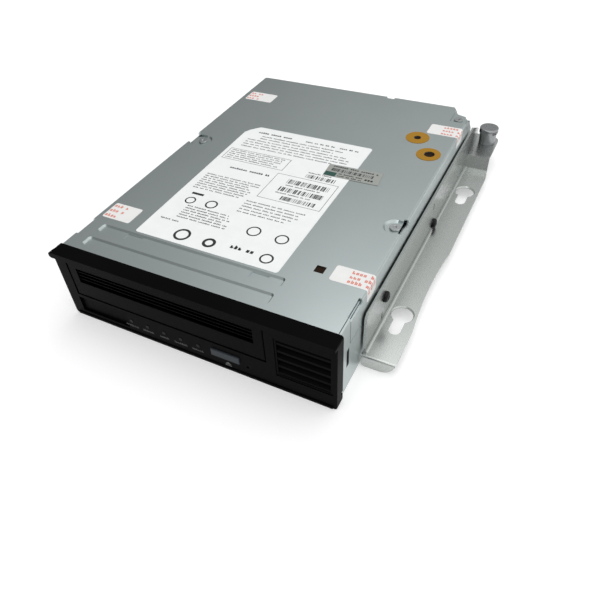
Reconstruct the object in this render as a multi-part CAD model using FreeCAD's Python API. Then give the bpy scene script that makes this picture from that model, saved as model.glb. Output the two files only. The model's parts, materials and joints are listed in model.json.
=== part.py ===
import FreeCAD, Part
import math
import os

from FreeCAD import Vector

# Half-height 5.25-inch data tape drive with a side mounting bracket.
# Millimetres. X is across the drive (right is +X seen from the bezel), Y runs from the bezel to the rear,
# Z is up from the underside. The model is drawn with Y = 0 on the plane where the bezel seats, and
# every piece is moved at the end so that the origin is the centre of the four underside holes.

# ---------------------------------------------------------------- the case and its sheet metal
CASE_W = 146.0            # across the side mounting faces
CASE_D = 205.0            # bezel seat to rear edge
CASE_H = 41.2             # underside to the top of the cover
BASE_T = 1.0              # base plate and side walls
COVER_T = 0.8             # cover sheet
LIP_GAP = 0.1             # between the cover's skirt and the base's joggled lip
SEAM_Z = 26.0             # side seam between base and cover
SEAM_GAP = 0.4
SEAM_Y = 10.4             # the cover's skirts start here, behind the bezel's latches
LIP_BELOW = 2.4           # the joggled lip ends this far under the cover
LIP_STEP = 1.0
LIP_TAB_GAP = 0.4         # the lip's front tab, behind the cover's slot, ends this far under the cover
FRONT_LIP_H = 3.5         # folded lip of the base below the lamps
BEND_R = 1.0              # outer radius of the cover's long bends
COVER_INSET = 1.2         # the front tongue of the cover is narrower than the case
CLEAR = 0.1               # running and seating clearance of small parts
EPS = 0.01                # how far a cutter passes a face

# ---------------------------------------------------------------- standard mounting holes
HOLE_FRONT_Y = 47.4       # front holes from the bezel seat
HOLE_PITCH_Y = 79.25
HOLE_SIDE = 3.15          # underside holes from the side faces
SIDE_HOLE_Z1 = 10.0
SIDE_HOLE_Z2 = 21.84
TAP_R = 1.25              # M3 tapped hole, empty
FORMED_R = 1.45           # the same hole once a screw has formed its thread in it
COLLAR_R = 2.6
COLLAR_H = 1.0

# ---------------------------------------------------------------- cartridge and its way in
CART_W = 105.4
CART_D = 102.0
CART_H = 21.5
CART_SIDE = 7.0           # from the case's left side to the cartridge
CART_Z = 14.8             # underside of the cartridge as it enters
CART_PROUD = 8.0          # how far it stands in front of the bezel seat before loading
LOAD_TRAVEL = 16.0
DROP_TRAVEL = 2.4
BAR_TRAVEL = 8.0

# ---------------------------------------------------------------- bezel, door and button
BEZEL_LAP = 1.3           # how far the bezel stands past each side of the case
BEZEL_RISE = 0.5          # and above it
BEZEL_D = 5.9
BEZEL_T = 2.5             # front wall
BEZEL_RIM_T = 2.0         # outer rim
BEZEL_R = 1.6
BROW_H = 3.1
BROW_D = 2.3
SILL_H = 1.5              # thin lip along the bezel's lower edge
SILL_D = 0.5
DOOR_GAP = 0.3
DOOR_RISE = 0.1           # the door's lower edge over the cartridge's underside
DOOR_TOP_GAP = 3.6        # from its upper edge to the bezel's top
DOOR_T = 1.8
DOOR_RAISE = 0.6          # raised face of the door, flush with the bezel's rim
STOP_T = 0.7              # rim in front of the door that it closes against
STOP_LAP = 0.5
CHEEK_T = 2.0
PIVOT_Y = -3.3
PIVOT_DROP = 2.7          # the hinge pin under the bezel's top
PIN_R = 0.7
PIN_CLEAR = 0.05
KNUCKLE_R = 1.2
KNUCKLE_W = 6.0
LAMP_PITCH = 9.8
LAMP_COUNT = 5
LAMP_IN = 32.4            # first lamp from the door's left edge
LAMP_Z = 9.0
LAMP_R = 1.0
BUTTON_IN = 22.15         # button's middle from the door's right edge
BUTTON_Z = 9.15
BUTTON_W = 15.2
BUTTON_H = 4.2
BUTTON_TRAVEL = 0.8
GRILLE_GAP = 4.3          # between the door and the grille
GRILLE_SIDE = 2.0         # from the grille to the bezel's side
GRILLE_Z0 = 8.8
GRILLE_DROP = 8.7         # from its top to the bezel's top
SLAT_COUNT = 5
SLAT_T = 1.3
LATCH_Y0 = 6.7
LATCH_Y1 = 9.5
LATCH_Z0 = 14.0
LATCH_Z1 = 24.6

# ---------------------------------------------------------------- mechanism levels and sizes
BOARD_Z = 3.2
BOARD_T = 1.6
DECK_Z = 9.0
DECK_T = 2.0
DECK_Y0 = 3.8
DECK_GAP = 1.3            # between the deck's edge and the outside of the case wall, over BASE_T
TRAY_T = 1.0
SHAFT_R = 2.5
RUN = 0.05                # radial clearance of a running fit
TAPE_REEL_R = 39.0        # what a full tape needs
REEL_FRONT = 9.0          # between a loaded cartridge and the take-up reel
REEL_REAR = 6.0           # between the reel and the rear edge, at least
REEL_Z0 = 14.4
REEL_FLANGE = 1.2
REEL_CLEAR = 3.2          # between the reel and the threader's gear
REEL_HUB_R = 19.0
ROLLER_R = 4.5
ROLLER_Z0 = 15.0
ROLLER_H = 15.5
POST_R = 1.5
ARM_DROP = 4.8            # threading arm under the cover
ARM_T = 2.0
ARM_PIN_R = 2.6
HEAD_TRAVEL = 3.5

# ---------------------------------------------------------------- mounting bracket
BR_T = 1.2
BR_GAP = 0.8              # between the case side and the bracket's wall
BR_Y0 = 22.8              # inner face of the front lip
BR_WALL_Y0 = 24.0
BR_WALL_TOP = 30.0
BR_WALL_LOW = 21.5        # where the wall's sloping end stops
BR_WALL_TAIL = 18.0       # how far the wall runs past the case
BR_FLANGE_Z = 7.0
BR_REACH = 17.3           # outer edge of the flange from the case's side
BR_WAIST = 1.8
BR_WAIST_Y0 = 46.0
BR_WAIST_Y1 = 108.0
BR_CORNER_R = 6.0         # pad's outer corner
BR_LIP_R = 8.0            # lower outer corner of the front lip
BR_LIP_INNER_R = 2.5
BR_BEND_R = 1.5
PAD_Z = 14.0
PAD_BACK = 24.5           # how far the pad reaches past the case
PAD_L = 29.5
RAMP_L = 3.0
PAD_REACH = 15.6          # outer edge of the pad from the case's side
KEY_PITCH = 115.0
KEY_OUT = 9.4             # keyholes from the case's side
KEY_Y = 54.0              # centre of the front keyhole's large end
KEY_R = 5.3
KEY_SLOT_R = 2.9
KEY_SLOT_L = 11.4
KNOB_OUT = 9.0            # knob from the case's side
KNOB_BACK = 15.0          # knob behind the case's rear edge
KNOB_R = 5.8
KNOB_TOP = 24.6
KNOB_LIFT = 4.0
SLEEVE_R = 5.3
SLEEVE_TOP = 21.2
STUD_R = 1.75             # M3.5 thread on the captive screw's end
STUD_L = 4.0
STUD_CHAMFER = 0.5
STUD_TIP_Z = 2.0
SHANK_R = 1.45            # relieved shank above the thread

# ---------------------------------------------------------------- worked-out places
HALF_W = CASE_W / 2
COVER_UNDER = CASE_H - COVER_T
CART_X0 = -HALF_W + CART_SIDE
CART_X1 = CART_X0 + CART_W
CART_XC = (CART_X0 + CART_X1) / 2
CART_Y0 = -CART_PROUD
CART_Y1 = CART_Y0 + CART_D
LOADED_Y1 = CART_Y1 + LOAD_TRAVEL
HUB_Y = LOADED_Y1 - CART_D / 2
DECK_TOP = DECK_Z + DECK_T
BEZEL_W = CASE_W + 2 * BEZEL_LAP
BEZEL_H = CASE_H + BEZEL_RISE
DOOR_X0 = CART_X0 - 1.9
DOOR_X1 = CART_X1 + 1.5
DOOR_Z0 = CART_Z + DOOR_RISE
DOOR_Z1 = BEZEL_H - DOOR_TOP_GAP
PIVOT_Z = BEZEL_H - PIVOT_DROP
LAMP_X = DOOR_X0 + LAMP_IN
BUTTON_X = DOOR_X1 - BUTTON_IN
GRILLE_X0 = DOOR_X1 + GRILLE_GAP
GRILLE_X1 = BEZEL_W / 2 - GRILLE_SIDE
GRILLE_Z1 = BEZEL_H - GRILLE_DROP
LIP_TOP = COVER_UNDER - LIP_BELOW
ARM_Z = COVER_UNDER - ARM_DROP
ARM_GEAR_Z = ARM_Z - 1.6
HOLE_X = HALF_W - HOLE_SIDE
HOLE_REAR_Y = HOLE_FRONT_Y + HOLE_PITCH_Y
TRAY_Z = CART_Z - TRAY_T
BR_X0 = HALF_W + BR_GAP
BR_X1 = BR_X0 + BR_T
BR_OUT_X = HALF_W + BR_REACH
PAD_X1 = HALF_W + PAD_REACH
KEY_X = HALF_W + KEY_OUT
KNOB_X = HALF_W + KNOB_OUT
PAD_Y1 = CASE_D + PAD_BACK
PAD_Y0 = PAD_Y1 - PAD_L
RAMP_Y0 = PAD_Y0 - RAMP_L
BR_WALL_Y1 = CASE_D + BR_WALL_TAIL
KNOB_Y = CASE_D + KNOB_BACK

REEL_R = min(TAPE_REEL_R, (CASE_D - REEL_REAR - LOADED_Y1 - REEL_FRONT) / 2)
REEL_GAP = ARM_GEAR_Z - REEL_CLEAR - REEL_Z0 - 2 * REEL_FLANGE
PIVOT = (CART_X1 - 24.4, LOADED_Y1 + 33.0)
TAKEUP = (CART_XC - 12.7, LOADED_Y1 + REEL_FRONT + REEL_R)
ARM_R = math.hypot(TAKEUP[0] - PIVOT[0], TAKEUP[1] - PIVOT[1])
ARM_END = math.degrees(math.atan2(TAKEUP[1] - PIVOT[1], TAKEUP[0] - PIVOT[0]))
ARM_START = -math.degrees(math.acos((CART_X1 + 0.5 - PIVOT[0]) / ARM_R))


# ================================================================ helpers
def box(x0, x1, y0, y1, z0, z1):
    """A block between two corners, given in any order."""
    low = Vector(min(x0, x1), min(y0, y1), min(z0, z1))
    return Part.makeBox(abs(x1 - x0), abs(y1 - y0), abs(z1 - z0), low)


def rod(x, y, z0, z1, r):
    """An upright cylinder."""
    return Part.makeCylinder(r, z1 - z0, Vector(x, y, z0))


def tube(x, y, z0, z1, r_out, r_in):
    """An upright ring."""
    return rod(x, y, z0, z1, r_out).cut(rod(x, y, z0 - EPS, z1 + EPS, r_in))


def rod_x(x0, x1, y, z, r):
    """A cylinder along X."""
    return Part.makeCylinder(r, x1 - x0, Vector(x0, y, z), Vector(1, 0, 0))


def rod_y(x, y0, y1, z, r):
    """A cylinder along Y."""
    return Part.makeCylinder(r, y1 - y0, Vector(x, y0, z), Vector(0, 1, 0))


def prism(points, direction):
    """A closed outline of straight sides, carried along a direction."""
    vectors = [Vector(*p) for p in points]
    return Part.Face(Part.makePolygon(vectors + vectors[:1])).extrude(Vector(*direction))


def fused(shapes):
    """One solid from several that meet."""
    shapes = list(shapes)
    if len(shapes) == 1:
        return shapes[0]
    return shapes[0].multiFuse(shapes[1:]).removeSplitter()


def without(shape, cutters):
    """A shape with every cutter taken away."""
    for cutter in cutters:
        shape = shape.cut(cutter)
    return shape


def round_edges(shape, radius, wanted):
    """Round every edge that the test picks."""
    edges = [e for e in shape.Edges if wanted(e)]
    return shape.makeFillet(radius, edges)


def is_vertical(edge):
    """True for a straight edge along Z."""
    a = edge.Vertexes[0].Point
    b = edge.Vertexes[-1].Point
    return abs(a.x - b.x) < EPS and abs(a.y - b.y) < EPS and abs(a.z - b.z) > EPS


def is_lengthwise(edge):
    """True for a straight edge along Y."""
    a = edge.Vertexes[0].Point
    b = edge.Vertexes[-1].Point
    return abs(a.x - b.x) < EPS and abs(a.z - b.z) < EPS and abs(a.y - b.y) > EPS


def pan_wire(cx, cy, z, length, width, r):
    """A rectangle with round corners, level at z."""
    x, y, c = length / 2, width / 2, r * (1 - math.sqrt(0.5))
    edges = []
    for sx, sy in ((1, 1), (-1, 1), (-1, -1), (1, -1)):
        first = Vector(cx + sx * x, cy + sy * (y - r), z)
        middle = Vector(cx + sx * (x - c), cy + sy * (y - c), z)
        last = Vector(cx + sx * (x - r), cy + sy * y, z)
        if sx * sy < 0:
            first, last = last, first
        if edges:
            edges.append(Part.LineSegment(corner_end, first).toShape())
        else:
            start = first
        edges.append(Part.Arc(first, middle, last).toShape())
        corner_end = last
    edges.append(Part.LineSegment(corner_end, start).toShape())
    return Part.Wire(edges)


def stamped_bead(plate, cx, cy, face_z, sheet, depth, length, width, slope, way, corner_r):
    """Press a bead with sloping sides into a sheet. way is -1 for down and +1 for up."""
    def pan(z0, z1, grow):
        top = pan_wire(cx, cy, z0, length + 2 * grow, width + 2 * grow, corner_r + grow)
        foot = pan_wire(cx, cy, z1, length - 2 * slope + 2 * grow, width - 2 * slope + 2 * grow,
                        max(corner_r - slope, 0.3) + grow)
        return Part.makeLoft([top, foot], True, True)

    back_z = face_z + way * sheet
    added = pan(back_z, back_z + way * depth, sheet)
    removed = pan(face_z, face_z + way * depth, 0.0)
    return plate.fuse(added).cut(removed)


def slot_y(x, y0, y1, z0, z1, r):
    """An upright cutter for a slot along Y with round ends centred at y0 and y1."""
    return fused([rod(x, y0, z0, z1, r), rod(x, y1, z0, z1, r), box(x - r, x + r, y0, y1, z0, z1)])


def gear_outline(module, teeth, backlash):
    """Points of an involute spur gear with a tooth centred on +X.

    A flank point at radius r lies at half the tooth angle plus inv(20 deg) minus inv(acos(rb / r)).
    """
    pressure = math.radians(20.0)
    pitch_r = module * teeth / 2
    base_r = pitch_r * math.cos(pressure)
    tip_r = pitch_r + module
    root_r = pitch_r - 1.25 * module
    half = math.pi / (2 * teeth) - backlash / (2 * pitch_r)

    def spread(r):
        a = math.acos(min(1.0, base_r / r))
        return half + (math.tan(pressure) - pressure) - (math.tan(a) - a)

    flank_r = [root_r, max(root_r, base_r), pitch_r, tip_r]
    points = []
    for n in range(teeth):
        middle = 2 * math.pi * n / teeth
        rising = [(r, middle - spread(max(r, base_r))) for r in flank_r]
        falling = [(r, middle + spread(max(r, base_r))) for r in reversed(flank_r)]
        for r, angle in rising + falling:
            point = (r * math.cos(angle), r * math.sin(angle), 0.0)
            if not points or math.dist(points[-1], point) > EPS:
                points.append(point)
    return points


def gear(module, teeth, x, y, z0, z1, turn, bore_r):
    """A spur gear with its first tooth turned to an angle in degrees."""
    wheel = prism(gear_outline(module, teeth, GEAR_BACKLASH), (0, 0, z1 - z0))
    wheel = wheel.cut(rod(0, 0, -EPS, z1 - z0 + EPS, bore_r))
    wheel.rotate(Vector(0, 0, 0), Vector(0, 0, 1), turn)
    wheel.translate(Vector(x, y, z0))
    return wheel


def coil(radius, wire_r, turns, pitch):
    """A close helical spring about the Z axis, from z = 0 up."""
    helix = Part.makeHelix(pitch, pitch * turns, radius)
    section = Part.Wire(Part.makeCircle(wire_r, Vector(radius, 0, 0), Vector(0, 1, 0)))
    return Part.Wire(helix.Edges).makePipeShell([section], True, True)


def sides():
    """The left and the right side as signs."""
    return (-1, 1)


# ================================================================ case
DIMPLE_DEPTH = 1.0
DIMPLE_R = 5.7
DIMPLE_SLOPE = 1.0
DIMPLE_SLOT = 2.0         # relief slot from the case's side inwards
SCREW_RIGHT = (HALF_W - 4.4, 74.6)
SCREW_LEFT = (-HALF_W + 8.2, 112.0)
SCREW_CORNER = (HALF_W - 5.6, CASE_D - 14.5)
COVER_SCREWS = (SCREW_RIGHT, SCREW_LEFT, SCREW_CORNER)
COVER_SCREW_R = 1.2
COVER_SCREW_HEAD_R = 2.6
COVER_SCREW_HEAD_H = 0.95
COVER_POST_R = 1.9
STAND_SIDE = 18.0         # board stand-offs from the case's sides
STAND_FRONT = 68.0
STAND_REAR = 15.0         # the rear pair from the case's rear edge
BOARD_STANDS = [(s * (HALF_W - STAND_SIDE), y) for s in (-1, 1) for y in (STAND_FRONT, CASE_D - STAND_REAR)]
STAND_R = 2.4
LEG_SIDE = 11.0           # deck legs from the case's sides
LEG_FRONT = 24.0
LEG_MIDDLE = 98.0
LEG_REAR = 21.0           # the rear pair from the case's rear edge
DECK_LEGS = [(s * (HALF_W - LEG_SIDE), y) for s in (-1, 1) for y in (LEG_FRONT, LEG_MIDDLE, CASE_D - LEG_REAR)]
LEG_R = 2.6
LEG_SCREW_R = 1.2
LEG_HEAD_R = 2.1


def side_holes(sign, x_out, depth, r):
    """The four side mounting holes of one side, as cutters or collars."""
    start = x_out - depth if sign > 0 else -x_out
    return [rod_x(start, start + depth, y, z, r)
            for y in (HOLE_FRONT_Y, HOLE_REAR_Y) for z in (SIDE_HOLE_Z1, SIDE_HOLE_Z2)]


def rear_corner_cut():
    """The wedge that slopes off the right side's upper rear corner."""
    x = HALF_W - COVER_T - LIP_GAP - BASE_T - 0.2
    top = CASE_H - DIMPLE_DEPTH
    return prism([(x, CASE_D - CORNER_CUT_Y, top), (x, CASE_D + EPS, top - CORNER_CUT_Z),
                  (x, CASE_D + 2, top - CORNER_CUT_Z), (x, CASE_D + 2, CASE_H + 1),
                  (x, CASE_D - CORNER_CUT_Y, CASE_H + 1)], (HALF_W + 2 - x, 0, 0))


def base_frame():
    """The folded base: plate, side walls with joggled lips, front lip, collars and stand-offs."""
    inner = HALF_W - BASE_T
    lip_out = HALF_W - COVER_T - LIP_GAP
    lip_in = lip_out - BASE_T
    plate = box(-HALF_W, HALF_W, 0, CASE_D, 0, BASE_T)
    for x in (-30.0, 30.0):
        plate = stamped_bead(plate, x, 28.0, 0.0, BASE_T, 0.8, 44.0, 9.0, 1.2, 1, 4.0)
    parts = [plate, box(-inner, inner, 0, BASE_T, 0, FRONT_LIP_H)]
    for s in sides():
        parts += [
            box(s * inner, s * HALF_W, 0, CASE_D, 0, SEAM_Z),
            box(s * inner, s * HALF_W, 0, SEAM_Y - SEAM_GAP, 0, CASE_H - 0.2),
            box(s * lip_in, s * HALF_W, SEAM_Y, CASE_D - 1.5, SEAM_Z - LIP_STEP, SEAM_Z),
            box(s * lip_in, s * lip_out, SEAM_Y, CASE_D - 1.5, SEAM_Z - LIP_STEP, LIP_TOP),
            box(s * lip_in, s * lip_out, SEAM_Y, SEAM_Y + SLOT_LEN, LIP_TOP - 1, COVER_UNDER - LIP_TAB_GAP),
        ]
        parts += side_holes(s, HALF_W, BASE_T + COLLAR_H, COLLAR_R)
        parts += [rod(s * HOLE_X, y, 0, BASE_T + 2 * COLLAR_H, COLLAR_R)
                  for y in (HOLE_FRONT_Y, HOLE_REAR_Y)]
    parts += [rod(x, y, 0, BOARD_Z, STAND_R) for x, y in BOARD_STANDS]
    frame = fused(parts)
    cuts = [rear_corner_cut()]
    for s in sides():
        cuts += side_holes(s, HALF_W + 1, BASE_T + COLLAR_H + 3, TAP_R)
        cuts += [rod(s * HOLE_X, y, -1, BASE_T + 2 * COLLAR_H + 1, TAP_R)
                 for y in (HOLE_FRONT_Y, HOLE_REAR_Y)]
        cuts.append(box(s * (inner - 1), s * (HALF_W + 1), LATCH_Y0, LATCH_Y1, LATCH_Z0, LATCH_Z1))
    cuts += [rod_x(inner - COLLAR_H - 3, HALF_W + 1, y, z, FORMED_R) for y, z in BR_SCREWS]
    for x, y in DECK_LEGS:
        cuts.append(Part.makeCone(LEG_HEAD_R, LEG_SCREW_R + CLEAR, BASE_T + EPS, Vector(x, y, 0)))
    return without(frame, cuts)


def screw_dimple(cover, x, y, sign):
    """A half-round dimple that runs out at the cover's edge, with a relief slot along the bend."""
    edge = sign * (HALF_W - COVER_T - LIP_GAP)
    slot_in = sign * (HALF_W - DIMPLE_SLOT)
    half = DIMPLE_R
    back = rod(x, y, COVER_UNDER - DIMPLE_DEPTH, COVER_UNDER, DIMPLE_R + COVER_T)
    back = back.common(box(-edge, edge, y - 20, y + 20, 0, CASE_H))
    floor_z = CASE_H - DIMPLE_DEPTH
    wide = box(x, slot_in, y - half, y + half, floor_z, CASE_H + 1)
    return without(cover.fuse(back), [
        Part.makeCone(DIMPLE_R - DIMPLE_SLOPE, DIMPLE_R, DIMPLE_DEPTH + EPS, Vector(x, y, floor_z)).common(
            box(-slot_in, slot_in, y - 20, y + 20, floor_z, CASE_H + 1)),
        wide,
        box(slot_in, sign * (HALF_W + 1), y - half + 1.2, y + half + 1.6, CASE_H - 2.4, CASE_H + 1),
        rod(x, y, 0, CASE_H, COVER_SCREW_R + CLEAR),
    ])


BEAD_Y = (7.1, 18.15)
BEAD_W = (6.8, 6.2)
BEAD_L = 102.6
BEAD_DEPTH = 1.0
BEAD_R = 1.6
POCKET_X = (CART_XC - 30.7, CART_XC + 39.4)
POCKET_W = 9.0
POCKET_DEPTH = 0.3
SQUARE_HOLE = (HALF_W - 23.9, 32.5, 4.6)
ACCESS_HOLES = ((HALF_W - 21.1, PIVOT[1] + 17.2, 2.0), (HALF_W - 9.3, PIVOT[1] + 1.5, 2.9))
CORNER_STEP_X = HALF_W - 9.8
CORNER_STEP_Y = CASE_D - 18.5
CORNER_CUT_Y = 11.0       # the side's sloping rear corner, lengthwise
CORNER_CUT_Z = 10.8       # and downwards
CORNER_PANEL = 6.7        # the rear panel's lowered corner under the cover's top
REAR_NOTCH = (20.1, 5.0, 1.8)
SLOT_LEN = 12.7
COVER_CORNER_R = 2.5


def top_cover():
    """The stamped lid with its skirts, beads, dimples, slots and holes."""
    rear = CASE_D - 0.2
    shell = box(-HALF_W, HALF_W, SEAM_Y, rear, SEAM_Z + SEAM_GAP, CASE_H)
    inside = HALF_W - COVER_T
    shell = shell.cut(box(-inside, inside, 0, CASE_D, 0, COVER_UNDER))
    shell = round_edges(shell, BEND_R, lambda e: is_lengthwise(e)
                        and abs(e.Vertexes[0].Z - CASE_H) < EPS and abs(abs(e.Vertexes[0].X) - HALF_W) < EPS)
    tongue = HALF_W - COVER_INSET
    cover = shell.fuse(box(-tongue, tongue, 0, SEAM_Y + 1, COVER_UNDER, CASE_H))
    for y, w in zip(BEAD_Y, BEAD_W):
        cover = stamped_bead(cover, CART_XC + 0.3, y, CASE_H, COVER_T, BEAD_DEPTH, BEAD_L, w, 0.8, -1,
                             BEAD_R)
    y, w = BEAD_Y[1], BEAD_W[1]
    for x in POCKET_X:
        floor_z = CASE_H - BEAD_DEPTH - POCKET_DEPTH
        cover = cover.fuse(box(x - POCKET_W / 2 - 0.5, x + POCKET_W / 2 + 0.5, y - w / 2 + 0.5,
                               y + w / 2 - 0.5, floor_z - COVER_T, floor_z + 0.1))
        cover = cover.cut(box(x - POCKET_W / 2, x + POCKET_W / 2, y - w / 2 + 1, y + w / 2 - 1,
                              floor_z, CASE_H))
    cover = screw_dimple(cover, SCREW_RIGHT[0], SCREW_RIGHT[1], 1)
    cover = screw_dimple(cover, SCREW_LEFT[0], SCREW_LEFT[1], -1)
    low = CASE_H - DIMPLE_DEPTH
    step_out = HALF_W - COVER_T - LIP_GAP
    cover = cover.fuse(box(CORNER_STEP_X - COVER_T, step_out, CORNER_STEP_Y - COVER_T, rear,
                           low - COVER_T, COVER_UNDER))
    x0, y0 = CORNER_STEP_X, CORNER_STEP_Y
    low_z = CASE_H - 4
    corner = [(x0 - 1.8, rear + 1, low_z), (x0 - 1.8, rear - 0.4, low_z), (x0 + 2.0, y0 + 11.8, low_z),
              (x0 + 7.0, y0 + 10.2, low_z), (HALF_W + 1, y0 + 3.4, low_z), (HALF_W + 1, rear + 1, low_z)]
    cuts = [
        box(x0, HALF_W + 1, y0, rear + 1, low, CASE_H + 1),
        prism(corner, (0, 0, 6)),
        rear_corner_cut(),
        rod(SCREW_CORNER[0], SCREW_CORNER[1], 0, CASE_H, COVER_SCREW_R + CLEAR),
        box(REAR_NOTCH[0] - REAR_NOTCH[1] / 2, REAR_NOTCH[0] + REAR_NOTCH[1] / 2,
            rear - REAR_NOTCH[2], rear + 1, COVER_UNDER - 1, CASE_H + 1),
    ]
    x, y, w = SQUARE_HOLE
    cuts.append(box(x - w / 2, x + w / 2, y - w / 2, y + w / 2, COVER_UNDER - 1, CASE_H + 1))
    cuts += [rod(x, y, COVER_UNDER - 1, CASE_H + 1, r) for x, y, r in ACCESS_HOLES]
    for s in sides():
        cuts.append(box(s * (HALF_W - 1.5), s * (HALF_W + 1), SEAM_Y - 0.5, SEAM_Y - 0.5 + SLOT_LEN,
                        CASE_H - 2.2, CASE_H + 1))
    r = COVER_CORNER_R
    cuts.append(box(-HALF_W - 1, -HALF_W + r, rear - r, rear + 1, 0, CASE_H + 1).cut(
        rod(-HALF_W + r, rear - r, -1, CASE_H + 2, r)))
    return without(cover, cuts)


def cover_screws():
    """Pan-head screws with a hexagonal socket, seated in the dimples."""
    screws = []
    for x, y in COVER_SCREWS:
        seat = CASE_H - DIMPLE_DEPTH
        head = rod(x, y, seat, seat + COVER_SCREW_HEAD_H, COVER_SCREW_HEAD_R)
        socket = [(x + math.cos(math.radians(60 * k)), y + math.sin(math.radians(60 * k)),
                   seat + COVER_SCREW_HEAD_H - 0.5) for k in range(6)]
        shank = rod(x, y, seat - 7, seat, COVER_SCREW_R)
        screws.append(head.fuse(shank).cut(prism(socket, (0, 0, 1))))
    return Part.makeCompound(screws)


SEAL_R = 6.75
SEAL_T = 0.15
SEAL_OFFSET = ((0.0, 0.0), (-0.5, -0.2))


def inspection_seals():
    """Two film rings round the holes over the head."""
    rings = []
    for (x, y, r), (dx, dy) in zip(ACCESS_HOLES, SEAL_OFFSET):
        disc = rod(x + dx, y + dy, CASE_H, CASE_H + SEAL_T, SEAL_R)
        rings.append(disc.cut(rod(x, y, CASE_H - 1, CASE_H + 1, r + 0.1)))
    return Part.makeCompound(rings)


CONN_X0 = -HALF_W + 21.0
CONN_W = 42.0
CONN_H = 6.4
PORT_X0 = HALF_W - 55.0
PORT_W = 18.0
PORT_H = 5.0
VENT_ROWS = (18.0, 28.0)
VENT_COUNT = 9
VENT_PITCH = 14.0
VENT_L = 9.0
VENT_H = 2.4
PANEL_T = 1.0
PANEL_INSET = 0.2
CONN_Z = BOARD_Z + BOARD_T


def rear_panel():
    """The rear plate between the side walls, with connector openings and two rows of vents."""
    inner = HALF_W - BASE_T
    y1 = CASE_D - PANEL_INSET - 0.2
    panel = box(-inner, inner, y1 - PANEL_T, y1, BASE_T, COVER_UNDER)
    low = CASE_H - DIMPLE_DEPTH - COVER_T
    tab = CORNER_STEP_X - COVER_T
    cuts = [
        box(CONN_X0 - 0.4, CONN_X0 + CONN_W + 0.4, 0, CASE_D, CONN_Z - 0.3, CONN_Z + CONN_H + 0.4),
        box(PORT_X0 - 0.4, PORT_X0 + PORT_W + 0.4, 0, CASE_D, CONN_Z - 0.3, CONN_Z + PORT_H + 0.4),
        box(tab - 4, HALF_W, 0, CASE_D, low - 0.2, CASE_H),
        box(CORNER_STEP_X, HALF_W, 0, CASE_D, CASE_H - CORNER_PANEL, CASE_H),
    ]
    for row in VENT_ROWS:
        for n in range(VENT_COUNT):
            x = (n - (VENT_COUNT - 1) / 2) * VENT_PITCH
            cuts.append(box(x - VENT_L / 2, x + VENT_L / 2, 0, CASE_D, row - VENT_H / 2, row + VENT_H / 2))
    return without(panel, cuts)


# ================================================================ bezel, door, button, lamps
def bezel_outline(x0, x1, y0, y1, z0, z1, r):
    """A block along Y with its four long edges rounded."""
    block = box(x0, x1, y0, y1, z0, z1)
    return round_edges(block, r, lambda e: abs(e.Vertexes[0].Y - e.Vertexes[-1].Y) > EPS)


BADGE_X1 = LAMP_X - 2.5
BADGE_Z = (3.6, 13.2)
BADGE_DEPTH = 1.2
RESET_X = BUTTON_X + 11.55
RESET_Z = 6.6
RESET_R = 0.7
LATCH_ARM_T = 2.0
SPRING_WIRE_R = 0.2
SPRING_R = PIN_R + RUN + SPRING_WIRE_R
SPRING_STOP_Y = PIVOT_Y + SPRING_R + SPRING_WIRE_R + 0.02


PRISE_Z = 6.0             # small prising notch in the rim's right side


def front_bezel():
    """The moulded bezel: front wall, rim, door opening with its stop rim and cheeks, and latch arms."""
    half = BEZEL_W / 2
    face = -BEZEL_D
    shell = bezel_outline(-half, half, face, 0, 0, BEZEL_H, BEZEL_R)
    hollow = box(-half + BEZEL_RIM_T, half - BEZEL_RIM_T, face + BEZEL_T, 1,
                 1.2, BEZEL_H - 1.2)
    shell = shell.cut(hollow)
    brow = bezel_outline(-half, half, face - BROW_D, face + 1, BEZEL_H - BROW_H, BEZEL_H, 1.2)
    sill = box(-half + 2, half - 2, face - SILL_D, face + 1, 0.2, SILL_H)
    x0, x1 = DOOR_X0 - DOOR_GAP, DOOR_X1 + DOOR_GAP
    z0 = DOOR_Z0 - DOOR_GAP
    cheeks = [box(x0 - CHEEK_T, x0, face + 1, 0, 1, BEZEL_H - 1),
              box(x1, x1 + CHEEK_T, face + 1, 0, 1, BEZEL_H - 1),
              box(x0 - 1, x1 + 1, face + 1, 0, z0 - 1.4, z0)]
    bezel = fused([shell, brow, sill] + cheeks)
    door_top = BEZEL_H - BROW_H - 0.2
    cuts = [
        box(x0 + STOP_LAP, x1 - STOP_LAP, face - 1, 1, z0 + STOP_LAP, door_top),
        box(x0, x1, face + STOP_T, 1, z0, BEZEL_H - 1.2),
        box(GRILLE_X0, GRILLE_X1, face - 1, 1, GRILLE_Z0, GRILLE_Z1),
        box(BUTTON_X - BUTTON_W / 2 - 0.15, BUTTON_X + BUTTON_W / 2 + 0.15, face - 1, 1,
            BUTTON_Z - BUTTON_H / 2 - 0.15, BUTTON_Z + BUTTON_H / 2 + 0.15),
        rod_y(RESET_X, face - 1, 1, RESET_Z, RESET_R),
        box(half - 0.7, half + 1, -1.6, 1, PRISE_Z - 0.9, PRISE_Z + 0.9),
        box(-half + 6.2, BADGE_X1, face - 1, face + BADGE_DEPTH, BADGE_Z[0], BADGE_Z[1]),
        rod_x(x0 - CHEEK_T - 1, x1 + CHEEK_T + 1, PIVOT_Y, PIVOT_Z, PIN_R),
    ]
    cuts += [rod_y(x, face - 1, 1, LAMP_Z, LAMP_R + RUN) for x in lamp_places()]
    spring_x0 = x1 + CHEEK_T
    cuts.append(box(spring_x0, spring_x0 + 4.4, face + 1.2, 1, PIVOT_Z - 6, BEZEL_H - 1.2))
    stop = box(spring_x0 - 0.1, spring_x0 + 1.6, SPRING_STOP_Y, SPRING_STOP_Y + 0.8,
               PIVOT_Z - 5, PIVOT_Z - 3)
    return fused([without(bezel, cuts), stop] + [latch_arm(s) for s in sides()])


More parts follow.
